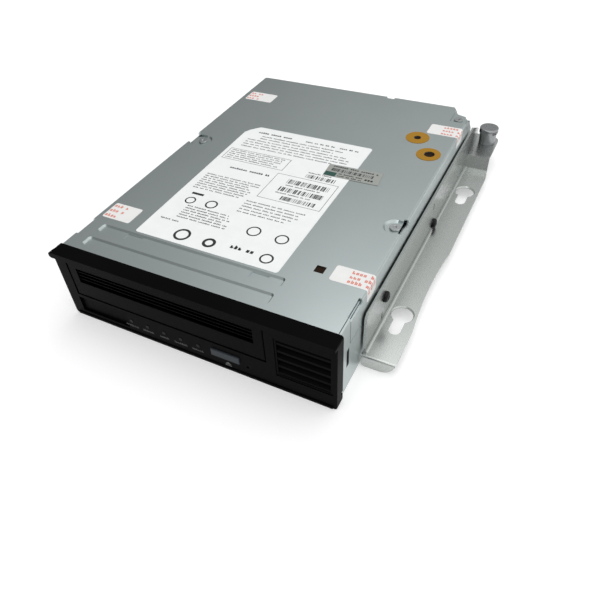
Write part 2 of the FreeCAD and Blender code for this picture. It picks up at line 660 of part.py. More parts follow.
def latch_arm(sign):
    """One springy arm of the bezel: a foot on the rim, the arm and its hook."""
    z0, z1 = LATCH_Z0 + 1, LATCH_Z1 - 1
    out = HALF_W - BASE_T - CLEAR
    root = -BEZEL_D + BEZEL_T + 0.7
    end = LATCH_Y1 - 0.1
    arm = box(sign * (out - LATCH_ARM_T), sign * out, root, end, z0, z1)
    foot = box(sign * (out - 0.5), sign * (HALF_W + 1.0), root, -0.2, z0, z1)
    start = LATCH_Y0 + 0.1
    hook = prism([(sign * (out - 0.5), start, z0), (sign * (HALF_W - 0.1), start, z0),
                  (sign * out, end, z0), (sign * (out - 0.5), end, z0)], (0, 0, z1 - z0))
    return fused([arm, foot, hook])


def lamp_places():
    """The row of lamps, from left to right."""
    return [LAMP_X + LAMP_PITCH * n for n in range(LAMP_COUNT)]


def knuckle_places():
    """Where the door's three knuckles stand along its hinge pin."""
    middle = (DOOR_X0 + DOOR_X1) / 2
    reach = (DOOR_X1 - DOOR_X0) / 2 - KNUCKLE_W
    return [middle - reach, middle, middle + reach]


def cartridge_door():
    """The flap: a plate with a raised face, a ribbed finger recess and three hinge knuckles."""
    back = -BEZEL_D + STOP_T + DOOR_T
    front = -BEZEL_D + STOP_T + RUN
    lap = STOP_LAP + DOOR_GAP
    plate = box(DOOR_X0, DOOR_X1, front, back, DOOR_Z0, DOOR_Z1)
    raised = box(DOOR_X0 + lap, DOOR_X1 - lap, front - DOOR_RAISE, front + EPS,
                 DOOR_Z0 + lap, DOOR_Z1 - 0.2)
    raised = round_edges(raised, 0.5, lambda e: all(
        abs(v.Y - (front - DOOR_RAISE)) < EPS for v in e.Vertexes))
    door = plate.fuse(raised)
    rx0, rx1 = DOOR_X0 + 5.6, DOOR_X1 - 5.8
    rz1 = DOOR_Z1 - 4.6
    rz0 = rz1 - 8.7
    door = door.cut(box(rx0, rx1, front - 1, front + 1.0, rz0, rz1))
    ribs = []
    for n in range(3):
        z = rz0 + (rz1 - rz0) * (n + 1) / 4
        ribs.append(prism([(rx0, front + 1.1, z - 0.8), (rx0, front - 0.1, z - 0.25),
                           (rx0, front - 0.1, z + 0.25), (rx0, front + 1.1, z + 0.8)],
                          (rx1 - rx0, 0, 0)))
    for x in knuckle_places():
        ribs.append(rod_x(x - KNUCKLE_W / 2, x + KNUCKLE_W / 2, PIVOT_Y, PIVOT_Z, KNUCKLE_R))
        ribs.append(box(x - KNUCKLE_W / 2, x + KNUCKLE_W / 2, PIVOT_Y - KNUCKLE_R, back,
                        DOOR_Z1 - 1, PIVOT_Z))
    door = fused([door] + ribs)
    return door.cut(rod_x(DOOR_X0 - 1, DOOR_X1 + 1, PIVOT_Y, PIVOT_Z, PIN_R + PIN_CLEAR))


def door_hinge_pin():
    """The steel pin through the door's knuckles, held in the bezel's cheeks."""
    x0 = DOOR_X0 - DOOR_GAP - CHEEK_T
    x1 = DOOR_X1 + DOOR_GAP + CHEEK_T
    return rod_x(x0 + 0.2, x1 + 3.6, PIVOT_Y, PIVOT_Z, PIN_R)


def door_spring():
    """The torsion spring on the pin's right end, with the leg that rests on the bezel's cheek."""
    x0 = DOOR_X1 + DOOR_GAP + CHEEK_T + SPRING_WIRE_R + RUN
    spring = coil(SPRING_R, SPRING_WIRE_R, 5, 0.6)
    leg = Part.makeCylinder(SPRING_WIRE_R, 5.0, Vector(SPRING_R, 0, 0), Vector(0, -1, 0))
    spring = spring.fuse(leg)
    spring.rotate(Vector(0, 0, 0), Vector(0, 1, 0), 90)
    spring.rotate(Vector(0, 0, 0), Vector(1, 0, 0), 90)
    spring.translate(Vector(x0, PIVOT_Y, PIVOT_Z))
    return spring


def vent_grille():
    """The louvred insert: a frame with slanting slats across it."""
    x0, x1 = GRILLE_X0 + CLEAR, GRILLE_X1 - CLEAR
    z0, z1 = GRILLE_Z0 + CLEAR, GRILLE_Z1 - CLEAR
    y0, y1 = -BEZEL_D + 0.3, -BEZEL_D + BEZEL_T + 0.5
    frame = box(x0, x1, y0, y1, z0, z1).cut(box(x0 + 1, x1 - 1, y0 - 1, y1 + 1, z0 + 1, z1 - 1))
    pitch = (z1 - z0) / SLAT_COUNT
    slats = []
    for n in range(SLAT_COUNT):
        z = z0 + pitch * (n + 0.5)
        slats.append(prism([(x0 + 0.5, y0 + 0.2, z - 1.3), (x0 + 0.5, y0 + 0.2, z - 1.3 + SLAT_T),
                            (x0 + 0.5, y1 - 0.2, z + 1.3), (x0 + 0.5, y1 - 0.2, z + 1.3 - SLAT_T)],
                           (x1 - x0 - 1.0, 0, 0)))
    rim = box(x0 - 0.8, x1, -BEZEL_D + BEZEL_T, y1, z0 - 0.8, z1 + 0.8)
    rim = rim.cut(box(x0 + 0.5, x1 - 0.5, -BEZEL_D, 1, z0 + 0.5, z1 - 0.5))
    return fused([frame, rim] + slats)


def eject_button():
    """The button cap with its retaining flange and the stem that reaches the switch."""
    face = -BEZEL_D
    behind = face + BEZEL_T + 0.05
    w, h = BUTTON_W / 2, BUTTON_H / 2
    cap = box(BUTTON_X - w, BUTTON_X + w, face - 0.7, behind + 0.5, BUTTON_Z - h, BUTTON_Z + h)
    cap = round_edges(cap, 0.4, lambda e: all(abs(v.Y - (face - 0.7)) < EPS for v in e.Vertexes))
    flange = box(BUTTON_X - w - 1, BUTTON_X + w + 1, behind, behind + 0.8,
                 BUTTON_Z - h - 0.8, BUTTON_Z + h + 0.8)
    stem = rod_y(BUTTON_X, behind, SWITCH_Y0 - BUTTON_TRAVEL, BUTTON_Z, 1.4)
    return fused([cap, flange, stem])


BOARD2_Y = DECK_Y0 - 1.6
SWITCH_Y0 = BOARD2_Y - 2.9


def front_board():
    """The upright board behind the lamps, held against the deck's front edge."""
    return box(LAMP_X - 9, RESET_X + 2, BOARD2_Y, DECK_Y0, FRONT_LIP_H + 0.1, DOOR_Z0 - 2.0)


def eject_switch():
    """The tactile switch behind the button."""
    body = box(BUTTON_X - 3, BUTTON_X + 3, SWITCH_Y0 + 1.0, BOARD2_Y, BUTTON_Z - 3, BUTTON_Z + 3)
    return body.fuse(rod_y(BUTTON_X, SWITCH_Y0, SWITCH_Y0 + 1.2, BUTTON_Z, 1.6))


def light_pipes():
    """Five clear rods from the front board to the bezel's face."""
    pipes = []
    for x in lamp_places():
        body = rod_y(x, -BEZEL_D - 0.15, BOARD2_Y, LAMP_Z, LAMP_R)
        pipes.append(body.fuse(rod_y(x, -BEZEL_D + BEZEL_T + 0.05, BOARD2_Y, LAMP_Z, LAMP_R + 0.6)))
    return Part.makeCompound(pipes)


# ================================================================ deck, boards and motors
BEARING_R = 6.0
BEARING_Z = DECK_TOP + 0.4
ROTOR_R = 22.0
ROTOR_Z = 5.4
STATOR_R = 20.0


def deck_plate():
    """The cast deck: plate, rim ribs, legs to the base and the posts that take the cover's screws."""
    edge = HALF_W - BASE_T - DECK_GAP
    y1 = CASE_D - 9.0
    parts = [box(-edge, edge, DECK_Y0, y1, DECK_Z, DECK_TOP)]
    parts += [rod(x, y, BASE_T, DECK_Z + 1, LEG_R) for x, y in DECK_LEGS]
    top = COVER_UNDER - DIMPLE_DEPTH
    parts += [rod(x, y, DECK_Z, top, COVER_POST_R) for x, y in COVER_SCREWS]
    deck = fused(parts)
    cuts = [rod(x, y, 0, BASE_T + 5.2, LEG_SCREW_R + RUN) for x, y in DECK_LEGS]
    cuts += [rod(x, y, top - 8, CASE_H, COVER_SCREW_R + RUN) for x, y in COVER_SCREWS]
    cuts += [rod(x, y, 0, CASE_H, BEARING_R) for x, y in ((CART_XC, HUB_Y), TAKEUP)]
    return without(deck, cuts)


def deck_screws():
    """Countersunk screws through the base into the deck's legs, their heads flush below."""
    screws = []
    for x, y in DECK_LEGS:
        head = Part.makeCone(LEG_HEAD_R - CLEAR, LEG_SCREW_R, BASE_T - RUN, Vector(x, y, RUN))
        slot = box(x - 1.4, x + 1.4, y - 0.25, y + 0.25, 0, 0.5)
        shank = rod(x, y, BASE_T, BASE_T + 5.0, LEG_SCREW_R)
        screws.append(head.fuse(shank).cut(slot))
    return Part.makeCompound(screws)


BOARD_Y0 = 62.0
BOARD_Y1 = CASE_D - PANEL_INSET - 0.2 - PANEL_T - 0.4
CHIPS = ((34.0, 50.0, 24.0, 24.0, 1.6), (33.0, 77.0, 14.0, 14.0, 1.2))
CAP_R = 3.2
CAP_PITCH = 9.0


def main_board():
    """The main circuit board on its four stand-offs, with room for the deck's legs."""
    edge = HALF_W - BASE_T - 5.0
    board = box(-edge, edge, BOARD_Y0, BOARD_Y1, BOARD_Z, BOARD_Z + BOARD_T)
    return without(board, [rod(x, y, 0, DECK_Z, LEG_R + 0.6) for x, y in DECK_LEGS])


def board_chips():
    """The larger chips and capacitors on the main board."""
    top = BOARD_Z + BOARD_T
    chips = []
    for x, dy, w, d, h in CHIPS:
        y = BOARD_Y0 + dy
        chips.append(box(x - w / 2 - 2, x + w / 2 - 2, y - d / 2, y + d / 2, top, top + h))
    side = HALF_W - STAND_SIDE
    chips.append(box(3 - side, 17 - side, BOARD_Y0 + 26, BOARD_Y0 + 40, top, top + 1.4))
    chips.append(box(side - 7, side + 3, BOARD_Y1 - 53.2, BOARD_Y1 - 37.2, top, top + 1.2))
    chips += [rod(side - 4 - CAP_PITCH * n, BOARD_Y1 - 27.2, top, top + 3.6, CAP_R) for n in range(4)]
    return Part.makeCompound(chips)


def interface_connector():
    """The combined data and power plug at the rear edge of the main board."""
    y0, y1 = CASE_D - 8.5, CASE_D + 0.6
    shell = box(CONN_X0, CONN_X0 + CONN_W, y0, y1, CONN_Z, CONN_Z + CONN_H)
    mouth = box(CONN_X0 + 1.2, CONN_X0 + CONN_W - 1.2, y1 - 6, y1 + 1, CONN_Z + 1, CONN_Z + CONN_H - 1)
    tongue = box(CONN_X0 + 2.6, CONN_X0 + CONN_W - 2.6, y1 - 7, y1 - 1.2,
                 CONN_Z + CONN_H / 2 - 0.6, CONN_Z + CONN_H / 2 + 0.6)
    return shell.cut(mouth).fuse(tongue)


def service_port():
    """The small service connector beside it."""
    y0, y1 = CASE_D - 8.5, CASE_D + 0.2
    shell = box(PORT_X0, PORT_X0 + PORT_W, y0, y1, CONN_Z, CONN_Z + PORT_H)
    pins = [box(PORT_X0 + 2.3 + 2.0 * n, PORT_X0 + 2.9 + 2.0 * n, y1 - 6, y1 - 1, CONN_Z + 2.2, CONN_Z + 2.8)
            for n in range(7)]
    mouth = box(PORT_X0 + 1, PORT_X0 + PORT_W - 1, y1 - 5, y1 + 1, CONN_Z + 1, CONN_Z + PORT_H - 1)
    return fused([shell.cut(mouth)] + pins)


def stator(x, y):
    """A flat motor's fixed half: the bearing in the deck and the ring of coils below it."""
    parts = [tube(x, y, DECK_Z - 1, BEARING_Z, BEARING_R, SHAFT_R + RUN),
             tube(x, y, DECK_Z - 1, DECK_Z, STATOR_R, SHAFT_R + RUN)]
    for n in range(9):
        pole = box(9.0, 17.0, -1.8, 1.8, DECK_Z - 2.2, DECK_Z - 0.9)
        pole.rotate(Vector(0, 0, 0), Vector(0, 0, 1), 40.0 * n)
        pole.translate(Vector(x, y, 0))
        parts.append(pole)
    return fused(parts)


def rotor(x, y, shaft_top):
    """A flat motor's turning half: the cup, its rim and the shaft."""
    parts = [rod(x, y, ROTOR_Z, ROTOR_Z + 0.8, ROTOR_R),
             tube(x, y, ROTOR_Z, DECK_Z - 0.4, ROTOR_R, ROTOR_R - 1.4),
             rod(x, y, ROTOR_Z, shaft_top, SHAFT_R)]
    return fused(parts)


CLUTCH_R = 19.0
CLUTCH_TEETH = 16


def supply_clutch():
    """The toothed coupling that turns the cartridge's own reel."""
    x, y = CART_XC, HUB_Y
    z0 = BEARING_Z + 0.2
    z1 = TRAY_Z - 0.3
    disc = rod(x, y, z0, z0 + 0.9, CLUTCH_R)
    ring = tube(x, y, z0, z1, CLUTCH_R, CLUTCH_R - 4.5)
    clutch = disc.fuse(ring)
    for n in range(CLUTCH_TEETH):
        gap = prism([(CLUTCH_R - 5, -0.5, z0 + 1.1), (CLUTCH_R + 1, -0.7, z0 + 1.1),
                     (CLUTCH_R + 1, 0.7, z0 + 1.1), (CLUTCH_R - 5, 0.5, z0 + 1.1)], (0, 0, 3))
        gap.rotate(Vector(0, 0, 0), Vector(0, 0, 1), 360.0 * n / CLUTCH_TEETH)
        gap.translate(Vector(x, y, 0))
        clutch = clutch.cut(gap)
    return clutch.cut(rod(x, y, z0 - 1, z1, SHAFT_R))


def takeup_reel():
    """The take-up reel with the curved slot that lets the leader block into its hub."""
    x, y = TAKEUP
    z1 = REEL_Z0 + REEL_FLANGE
    z2 = z1 + REEL_GAP
    z3 = z2 + REEL_FLANGE
    reel = fused([
        rod(x, y, REEL_Z0, z1, REEL_R),
        rod(x, y, z1 - 0.1, z2 + 0.1, REEL_HUB_R),
        rod(x, y, z2, z3, REEL_R),
        rod(x, y, BEARING_Z + 0.2, REEL_Z0, 8.0),
    ])
    reach = ARM_PIN_R + 0.8
    path = tube(PIVOT[0], PIVOT[1], z1 + 0.6, z3 + 1, ARM_R + reach, ARM_R - reach)
    gate = box(-90, 90, -90, 4.0, 0, CASE_H)
    gate.rotate(Vector(0, 0, 0), Vector(0, 0, 1), ARM_END)
    gate.translate(Vector(x, y, 0))
    reel = reel.cut(path.common(gate))
    windows = []
    for n in range(3):
        angle = math.radians(ARM_END + 60 + 60 * n)
        middle = (REEL_HUB_R + REEL_R) / 2
        windows.append(rod(x + middle * math.cos(angle), y + middle * math.sin(angle), REEL_Z0 - 1, z1 + 1,
                           (REEL_R - REEL_HUB_R) / 4))
    return without(reel, windows + [rod(x, y, 0, REEL_Z0 + 0.6, SHAFT_R)])


# ================================================================ loader
LIP_T = 0.6
BAR_T = 0.8
SLED_T = 0.8
RAIL_T = 1.2
SIDE_GAP = 0.2            # between tray, bar, sled plate and rail
TRAY_SIDE = 0.3           # between the cartridge and the tray's lips
RAIL_H = 27.3
TRAY_Y0 = 10.0
SLED_Y0 = 24.0
SLED_Y1 = 86.0
SLED_Z0 = TRAY_Z + 0.2
SLED_Z1 = 31.2
BRIDGE_Y = (30.0, 74.0)
BRIDGE_W = 6.0
BRIDGE_DROP = 3.6         # bridges under the cover
BRIDGE_Z = COVER_UNDER - BRIDGE_DROP
LIFT_PIN_Y = (35.0, 68.0)
LIFT_PIN_Z = 18.0
LIFT_PIN_R = 1.2
RUNNER_Y = (44.0, 60.0)
RUNNER_Z = 24.5
RUNNER_R = 1.2
RACK_MODULE = 0.8
RACK_TEETH = 14
RACK_SHIFT = 3            # whole teeth between the rack's middle and the gear at rest
RACK_Z0 = 28.0
RACK_Z1 = 31.0
RACK_BACK = 2.2
GEAR_BACKLASH = 0.16
WHEEL_MODULE = 0.5
WHEEL_TEETH = 36
SMALL_TEETH = 12
WHEEL_Z0 = 31.6
WHEEL_Z1 = 33.4
GEAR_Y = 64.0
MOTOR_ANGLE = -35.0
MOTOR_R = 6.0
MOTOR_TOP = 29.5


def side_x(sign, layer):
    """Inner face of a layer beside the cartridge: 0 lip, 1 bar, 2 sled plate, 3 rail."""
    thick = (LIP_T, BAR_T, SLED_T, RAIL_T)
    out = TRAY_SIDE + sum(thick[:layer]) + SIDE_GAP * layer
    return CART_X1 + out if sign > 0 else CART_X0 - out


RACK_PITCH_X = side_x(1, 2) + SLED_T + RACK_BACK
GEAR_X = RACK_PITCH_X + RACK_MODULE * SMALL_TEETH / 2
WHEEL_REACH = WHEEL_MODULE * (WHEEL_TEETH + SMALL_TEETH) / 2
LOAD_MOTOR = (GEAR_X + WHEEL_REACH * math.cos(math.radians(MOTOR_ANGLE)),
              GEAR_Y + WHEEL_REACH * math.sin(math.radians(MOTOR_ANGLE)))


def guide_rail(sign):
    """One slotted rail on the deck that the sled's runners slide in."""
    x = side_x(sign, 3)
    y0, y1 = 14.0, RUNNER_Y[1] + LOAD_TRAVEL + 10.0
    rail = box(x, x + sign * RAIL_T, y0, y1, DECK_TOP, RAIL_H)
    foot_in = side_x(sign, 2) - sign * 0.6
    feet = [box(foot_in, x + sign * 0.2, y, y + 8, DECK_TOP, DECK_TOP + 1.0) for y in (y0, y1 - 8)]
    r = RUNNER_R + CLEAR
    slot = fused([rod_x(min(x, x + sign * RAIL_T) - 1, max(x, x + sign * RAIL_T) + 1, y, RUNNER_Z, r)
                  for y in (RUNNER_Y[0] - 0.2, RUNNER_Y[1] + LOAD_TRAVEL + 0.2)]
                 + [box(x - 2, x + 2, RUNNER_Y[0] - 0.2, RUNNER_Y[1] + LOAD_TRAVEL + 0.2,
                        RUNNER_Z - r, RUNNER_Z + r)])
    return fused([rail] + feet).cut(slot)


def rack(x, y, z0, z1, teeth):
    """A straight rack facing +X with a gap centred on y."""
    pitch = math.pi * RACK_MODULE
    lean = math.tan(math.radians(20.0))
    m = RACK_MODULE
    reach = teeth * pitch / 2
    bars = [box(x - RACK_BACK, x - 1.25 * m + EPS, y - reach, y + reach, z0, z1)]
    for n in range(teeth):
        middle = y + (n - teeth // 2 + 0.5) * pitch
        half = pitch / 4 - GEAR_BACKLASH / 2
        root, tip = half + 1.25 * m * lean, half - m * lean
        bars.append(prism([(x - 1.25 * m, middle - root, z0), (x + m, middle - tip, z0),
                           (x + m, middle + tip, z0), (x - 1.25 * m, middle + root, z0)],
                          (0, 0, z1 - z0)))
    return fused(bars)


def tray_sled():
    """The sliding frame: two side plates with upright slots, bridges over the cartridge and the rack."""
    parts = []
    for s in sides():
        x = side_x(s, 2)
        plate = box(x, x + s * SLED_T, SLED_Y0, SLED_Y1, SLED_Z0, SLED_Z1)
        for y in BRIDGE_Y:
            plate = plate.fuse(box(x, x + s * SLED_T, y, y + BRIDGE_W, SLED_Z1 - 1, BRIDGE_Z + 1))
        for y in LIFT_PIN_Y:
            r = LIFT_PIN_R + CLEAR
            plate = plate.cut(box(x - 2, x + 2, y - r, y + r,
                                  LIFT_PIN_Z - DROP_TRAVEL - r, LIFT_PIN_Z + r))
        parts.append(plate)
        near = x + s * 0.3
        far = side_x(s, 3) + s * (RAIL_T + 0.2)
        parts += [rod_x(min(near, far), max(near, far), y, RUNNER_Z, RUNNER_R) for y in RUNNER_Y]
    reach = side_x(1, 2) + SLED_T - CART_XC
    for y in BRIDGE_Y:
        parts.append(box(CART_XC - reach, CART_XC + reach, y, y + BRIDGE_W, BRIDGE_Z, BRIDGE_Z + 1))
    middle = GEAR_Y - RACK_SHIFT * math.pi * RACK_MODULE
    parts.append(rack(RACK_PITCH_X, middle, RACK_Z0, RACK_Z1, RACK_TEETH))
    return fused(parts)


def lift_bars():
    """Two bars with slanting slots that lower the tray's pins as they slide."""
    bars = []
    for s in sides():
        x = side_x(s, 1)
        bar = box(x, x + s * BAR_T, 26.0, 80.0, SLED_Z0, 21.6)
        r = LIFT_PIN_R + CLEAR
        for y in LIFT_PIN_Y:
            lean = math.atan2(DROP_TRAVEL, BAR_TRAVEL)
            dy, dz = r * math.sin(lean), r * math.cos(lean)
            run = prism([(x - 2, y + dy, LIFT_PIN_Z - dz), (x - 2, y - dy, LIFT_PIN_Z + dz),
                         (x - 2, y - BAR_TRAVEL - dy, LIFT_PIN_Z - DROP_TRAVEL + dz),
                         (x - 2, y - BAR_TRAVEL + dy, LIFT_PIN_Z - DROP_TRAVEL - dz)], (4, 0, 0))
            ends = [rod_x(x - 2, x + 2, y, LIFT_PIN_Z, r),
                    rod_x(x - 2, x + 2, y - BAR_TRAVEL, LIFT_PIN_Z - DROP_TRAVEL, r)]
            bar = without(bar, [run] + ends)
        bars.append(bar)
    return Part.makeCompound(bars)


def cartridge_tray():
    """The tray: a floor open round the clutch, side lips, a rear stop and four lifting pins."""
    x0 = side_x(-1, 0)
    x1 = side_x(1, 0)
    floor = box(x0, x1, TRAY_Y0, CART_Y1 - 2, TRAY_Z, CART_Z)
    open_r = CLUTCH_R + 2.0
    mouth = fused([rod(CART_XC, HUB_Y, TRAY_Z - 1, CART_Z + 1, open_r),
                   box(CART_XC - open_r, CART_XC + open_r, 0, HUB_Y, TRAY_Z - 1, CART_Z + 1)])
    floor = floor.cut(mouth)
    parts = [floor, box(CART_XC - 26, CART_XC + 26, CART_Y1 - 3, CART_Y1 - 2, TRAY_Z, CART_Z),
             box(CART_XC - 26, CART_XC + 26, CART_Y1 - 2.1, CART_Y1 + 1, TRAY_Z, CART_Z),
             box(CART_XC - 26, CART_XC + 26, CART_Y1 + 0.2, CART_Y1 + 1.2, TRAY_Z, CART_Z + 9)]
    for s in sides():
        x = side_x(s, 0)
        out = x + s * LIP_T
        parts.append(box(x - s * 0.1, out, TRAY_Y0, CART_Y1 - 4, TRAY_Z, CART_Z + 1.6))
        for y in LIFT_PIN_Y:
            parts.append(box(x, out, y - 3, y + 3, TRAY_Z, LIFT_PIN_Z + 2))
            far = side_x(s, 2) + s * (SLED_T + 0.1)
            parts.append(rod_x(min(out - s * 0.3, far), max(out - s * 0.3, far), y, LIFT_PIN_Z, LIFT_PIN_R))
    return fused(parts)


def load_gear():
    """The compound gear between the motor's pinion and the sled's rack."""
    small = gear(RACK_MODULE, SMALL_TEETH, GEAR_X, GEAR_Y, RACK_Z0, RACK_Z1, 180.0, POST_R + RUN)
    wheel = gear(WHEEL_MODULE, WHEEL_TEETH, GEAR_X, GEAR_Y, WHEEL_Z0, WHEEL_Z1, MOTOR_ANGLE, POST_R + RUN)
    neck = tube(GEAR_X, GEAR_Y, RACK_Z1 - EPS, WHEEL_Z0 + EPS, 3.0, POST_R + RUN)
    return fused([small, neck, wheel])


def load_gear_post():
    """The stepped post under the compound gear."""
    return fused([rod(GEAR_X, GEAR_Y, DECK_TOP, RACK_Z0 - 0.2, POST_R + 1.2),
                  rod(GEAR_X, GEAR_Y, DECK_TOP, WHEEL_Z1 + 0.6, POST_R)])


def can_motor(x, y, top, shaft_r, shaft_bore_depth):
    """A small upright can motor on a round foot, bored for its shaft."""
    body = fused([rod(x, y, DECK_TOP, top, MOTOR_R), rod(x, y, top - EPS, top + 0.5, 2.2)])
    return body.cut(rod(x, y, top - shaft_bore_depth, top + 1, shaft_r + RUN))


MOTOR_SHAFT_R = 0.75
SHAFT_DEPTH = 6.0


def load_motor():
    """The loader's motor."""
    return can_motor(LOAD_MOTOR[0], LOAD_MOTOR[1], MOTOR_TOP, MOTOR_SHAFT_R, SHAFT_DEPTH)


def shaft_pinion(x, y, z0, z1, teeth, turn, motor_top):
    """A pinion on its shaft, which runs down into the motor."""
    shaft = rod(x, y, motor_top - SHAFT_DEPTH + 0.5, z1, MOTOR_SHAFT_R)
    wheel = prism(gear_outline(WHEEL_MODULE, teeth, GEAR_BACKLASH), (0, 0, z1 - z0))
    wheel.rotate(Vector(0, 0, 0), Vector(0, 0, 1), turn)
    wheel.translate(Vector(x, y, z0))
    return fused([wheel, shaft])


def load_pinion():
    """The pinion on the loader's motor, in mesh with the compound gear."""
    half_pitch = 180.0 / SMALL_TEETH
    return shaft_pinion(LOAD_MOTOR[0], LOAD_MOTOR[1], WHEEL_Z0, WHEEL_Z1, SMALL_TEETH,
                        MOTOR_ANGLE + 180.0 + half_pitch, MOTOR_TOP)


# ================================================================ tape path, head and threader
ROLLER_PLACES = ((23.0, -25.0), (31.3, -16.7), (31.3, 16.7), (16.4, 30.9))
HEAD_X0 = 31.8
HEAD_X1 = 36.0


def roller_xy(n):
    """The place of one guide roller, counted from the cartridge."""
    dx, dy = ROLLER_PLACES[n]
    return PIVOT[0] + dx, PIVOT[1] + dy


def guide_posts():
    """The four roller posts with their shoulders."""
    posts = []
    for n in range(4):
        x, y = roller_xy(n)
        posts.append(fused([rod(x, y, DECK_TOP, ROLLER_Z0 - 0.1, 3.0),
                            rod(x, y, DECK_TOP, ROLLER_Z0 + ROLLER_H + 0.8, POST_R)]))
    return Part.makeCompound(posts)


def guide_roller(n):
    """A guide roller with a slightly raised rim at each end."""
    x, y = roller_xy(n)
    z0, z1 = ROLLER_Z0, ROLLER_Z0 + ROLLER_H
    body = fused([rod(x, y, z0, z1, ROLLER_R - 0.3), rod(x, y, z0, z0 + 1.2, ROLLER_R),
                  rod(x, y, z1 - 1.2, z1, ROLLER_R)])
    return body.cut(rod(x, y, z0 - 1, z1 + 1, POST_R + RUN))


def head_place(dx, dy):
    """A point beside the head, measured from the threader's pivot."""
    return PIVOT[0] + dx, PIVOT[1] + dy


HEAD_RODS = ((21.0, -5.5), (21.0, 5.5))
LEAD_DX = 19.5
LEAD_R = 1.5
LEAD_BOTTOM = 20.0
HEAD_BASE_T = 3.0
HEAD_MID_Z = 22.3
HEAD_H = 14.8
CARRIAGE_Z0 = 19.6
CARRIAGE_H = 8.0


def head_base():
    """The foot that carries the head's rods and its motor."""
    x0, y0 = head_place(14.0, -10.0)
    x1, y1 = head_place(HEAD_X0 - 0.6, 10.0)
    foot = box(x0, x1, y0, y1, DECK_TOP, DECK_TOP + 1.2)
    hub = [rod(*head_place(*p), DECK_TOP, DECK_TOP + HEAD_BASE_T, 2.4) for p in HEAD_RODS]
    holes = [rod(*head_place(*p), DECK_TOP + 1.0, DECK_TOP + 9, POST_R) for p in HEAD_RODS]
    return without(fused([foot] + hub), holes)


def head_guide_rods():
    """Two upright rods that the head carriage slides on."""
    top = ARM_Z - 2.8
    return Part.makeCompound([rod(*head_place(*p), DECK_TOP + 1.0, top, POST_R) for p in HEAD_RODS])


def head_motor():
    """The small stepping motor under the lead screw."""
    x, y = head_place(LEAD_DX - 1.5, 0)
    body = rod(x, y, DECK_TOP + 1.2, LEAD_BOTTOM - 4.2, 2.8)
    return body.cut(rod(x, y, LEAD_BOTTOM - 7.2, LEAD_BOTTOM, 0.9 + RUN))


def lead_screw():
    """The screw that raises and lowers the head carriage, with its shaft down into the motor."""
    x, y = head_place(LEAD_DX - 1.5, 0)
    z0 = LEAD_BOTTOM - 4.0
    return fused([rod(x, y, z0, ARM_Z - 2.8, LEAD_R), rod(x, y, z0 - 2.8, z0 + 1, 0.9)])


def head_carriage():
    """The block that rides on the rods and carries the head."""
    x0, y0 = head_place(15.5, -8.0)
    x1, y1 = head_place(HEAD_X0, 8.0)
    z0, z1 = CARRIAGE_Z0, CARRIAGE_Z0 + CARRIAGE_H
    block = box(x0, x1, y0, y1, z0, z1)
    block = round_edges(block, 1.5, is_vertical)
    cuts = [rod(*head_place(*p), z0 - 1, z1 + 1, POST_R + RUN) for p in HEAD_RODS]
    cuts.append(rod(*head_place(LEAD_DX - 1.5, 0), z0 - 1, z1 + 1, LEAD_R + RUN))
    pocket_x0, pocket_y0 = head_place(25.0, -5.5)
    pocket_x1, pocket_y1 = head_place(HEAD_X0 - 1.6, 5.5)
    cuts.append(box(pocket_x0, pocket_x1, pocket_y0, pocket_y1, z1 - 4, z1 + 1))
    return without(block, cuts)


def tape_head():
    """The head: a tall block with a rounded contact face and two narrow contact bars."""
    x0, y0 = head_place(HEAD_X0, -5.5)
    x1, y1 = head_place(HEAD_X1 - 0.6, 5.5)
    z0, z1 = HEAD_MID_Z - HEAD_H / 2, HEAD_MID_Z + HEAD_H / 2
    body = box(x0, x1, y0, y1, z0, z1)
    bars = [box(x1 - 0.1, x1 + 0.6, PIVOT[1] + dy - 0.6, PIVOT[1] + dy + 0.6, z0 + 0.5, z1 - 0.5)
            for dy in (-2.2, 2.2)]
    return fused([body] + bars)


ARM_GEAR_TEETH = 32
ARM_PINION_TEETH = 16
ARM_MOTOR_ANGLE = -60.0
ARM_POST_R = 2.2
ARM_MESH = WHEEL_MODULE * (ARM_GEAR_TEETH + ARM_PINION_TEETH) / 2
THREAD_MOTOR = (PIVOT[0] + ARM_MESH * math.cos(math.radians(ARM_MOTOR_ANGLE)),
                PIVOT[1] + ARM_MESH * math.sin(math.radians(ARM_MOTOR_ANGLE)))
THREAD_MOTOR_TOP = ARM_GEAR_Z - 1.2


def arm_post():
    """The threader's pivot post with its shoulder."""
    x, y = PIVOT
    return fused([rod(x, y, DECK_TOP, ARM_GEAR_Z - 0.2, ARM_POST_R + 1.0),
                  rod(x, y, DECK_TOP, ARM_Z + ARM_T + 0.4, ARM_POST_R)])


def threading_arm():
    """The arm that swings the leader from the cartridge to the take-up reel, with its gear."""
    link = fused([rod(0, 0, ARM_Z, ARM_Z + ARM_T, 5.6), rod(ARM_R, 0, ARM_Z, ARM_Z + ARM_T, 3.6),
                  prism([(0, -4.4, ARM_Z), (ARM_R, -2.8, ARM_Z), (ARM_R, 2.8, ARM_Z), (0, 4.4, ARM_Z)],
                        (0, 0, ARM_T))])
    window = prism([(9.0, -2.0, 0), (ARM_R - 8, -1.1, 0), (ARM_R - 8, 1.1, 0), (9.0, 2.0, 0)], (0, 0, CASE_H))
    link = link.cut(window).cut(rod(ARM_R, 0, 0, CASE_H, 1.2))
    wheel = prism(gear_outline(WHEEL_MODULE, ARM_GEAR_TEETH, GEAR_BACKLASH), (0, 0, ARM_Z - ARM_GEAR_Z + 0.1))
    wheel.rotate(Vector(0, 0, 0), Vector(0, 0, 1), ARM_MOTOR_ANGLE - ARM_START)
    wheel.translate(Vector(0, 0, ARM_GEAR_Z))
    arm = fused([link, wheel]).cut(rod(0, 0, 0, CASE_H, ARM_POST_R + RUN))
    arm.rotate(Vector(0, 0, 0), Vector(0, 0, 1), ARM_START)
    arm.translate(Vector(PIVOT[0], PIVOT[1], 0))
    return arm


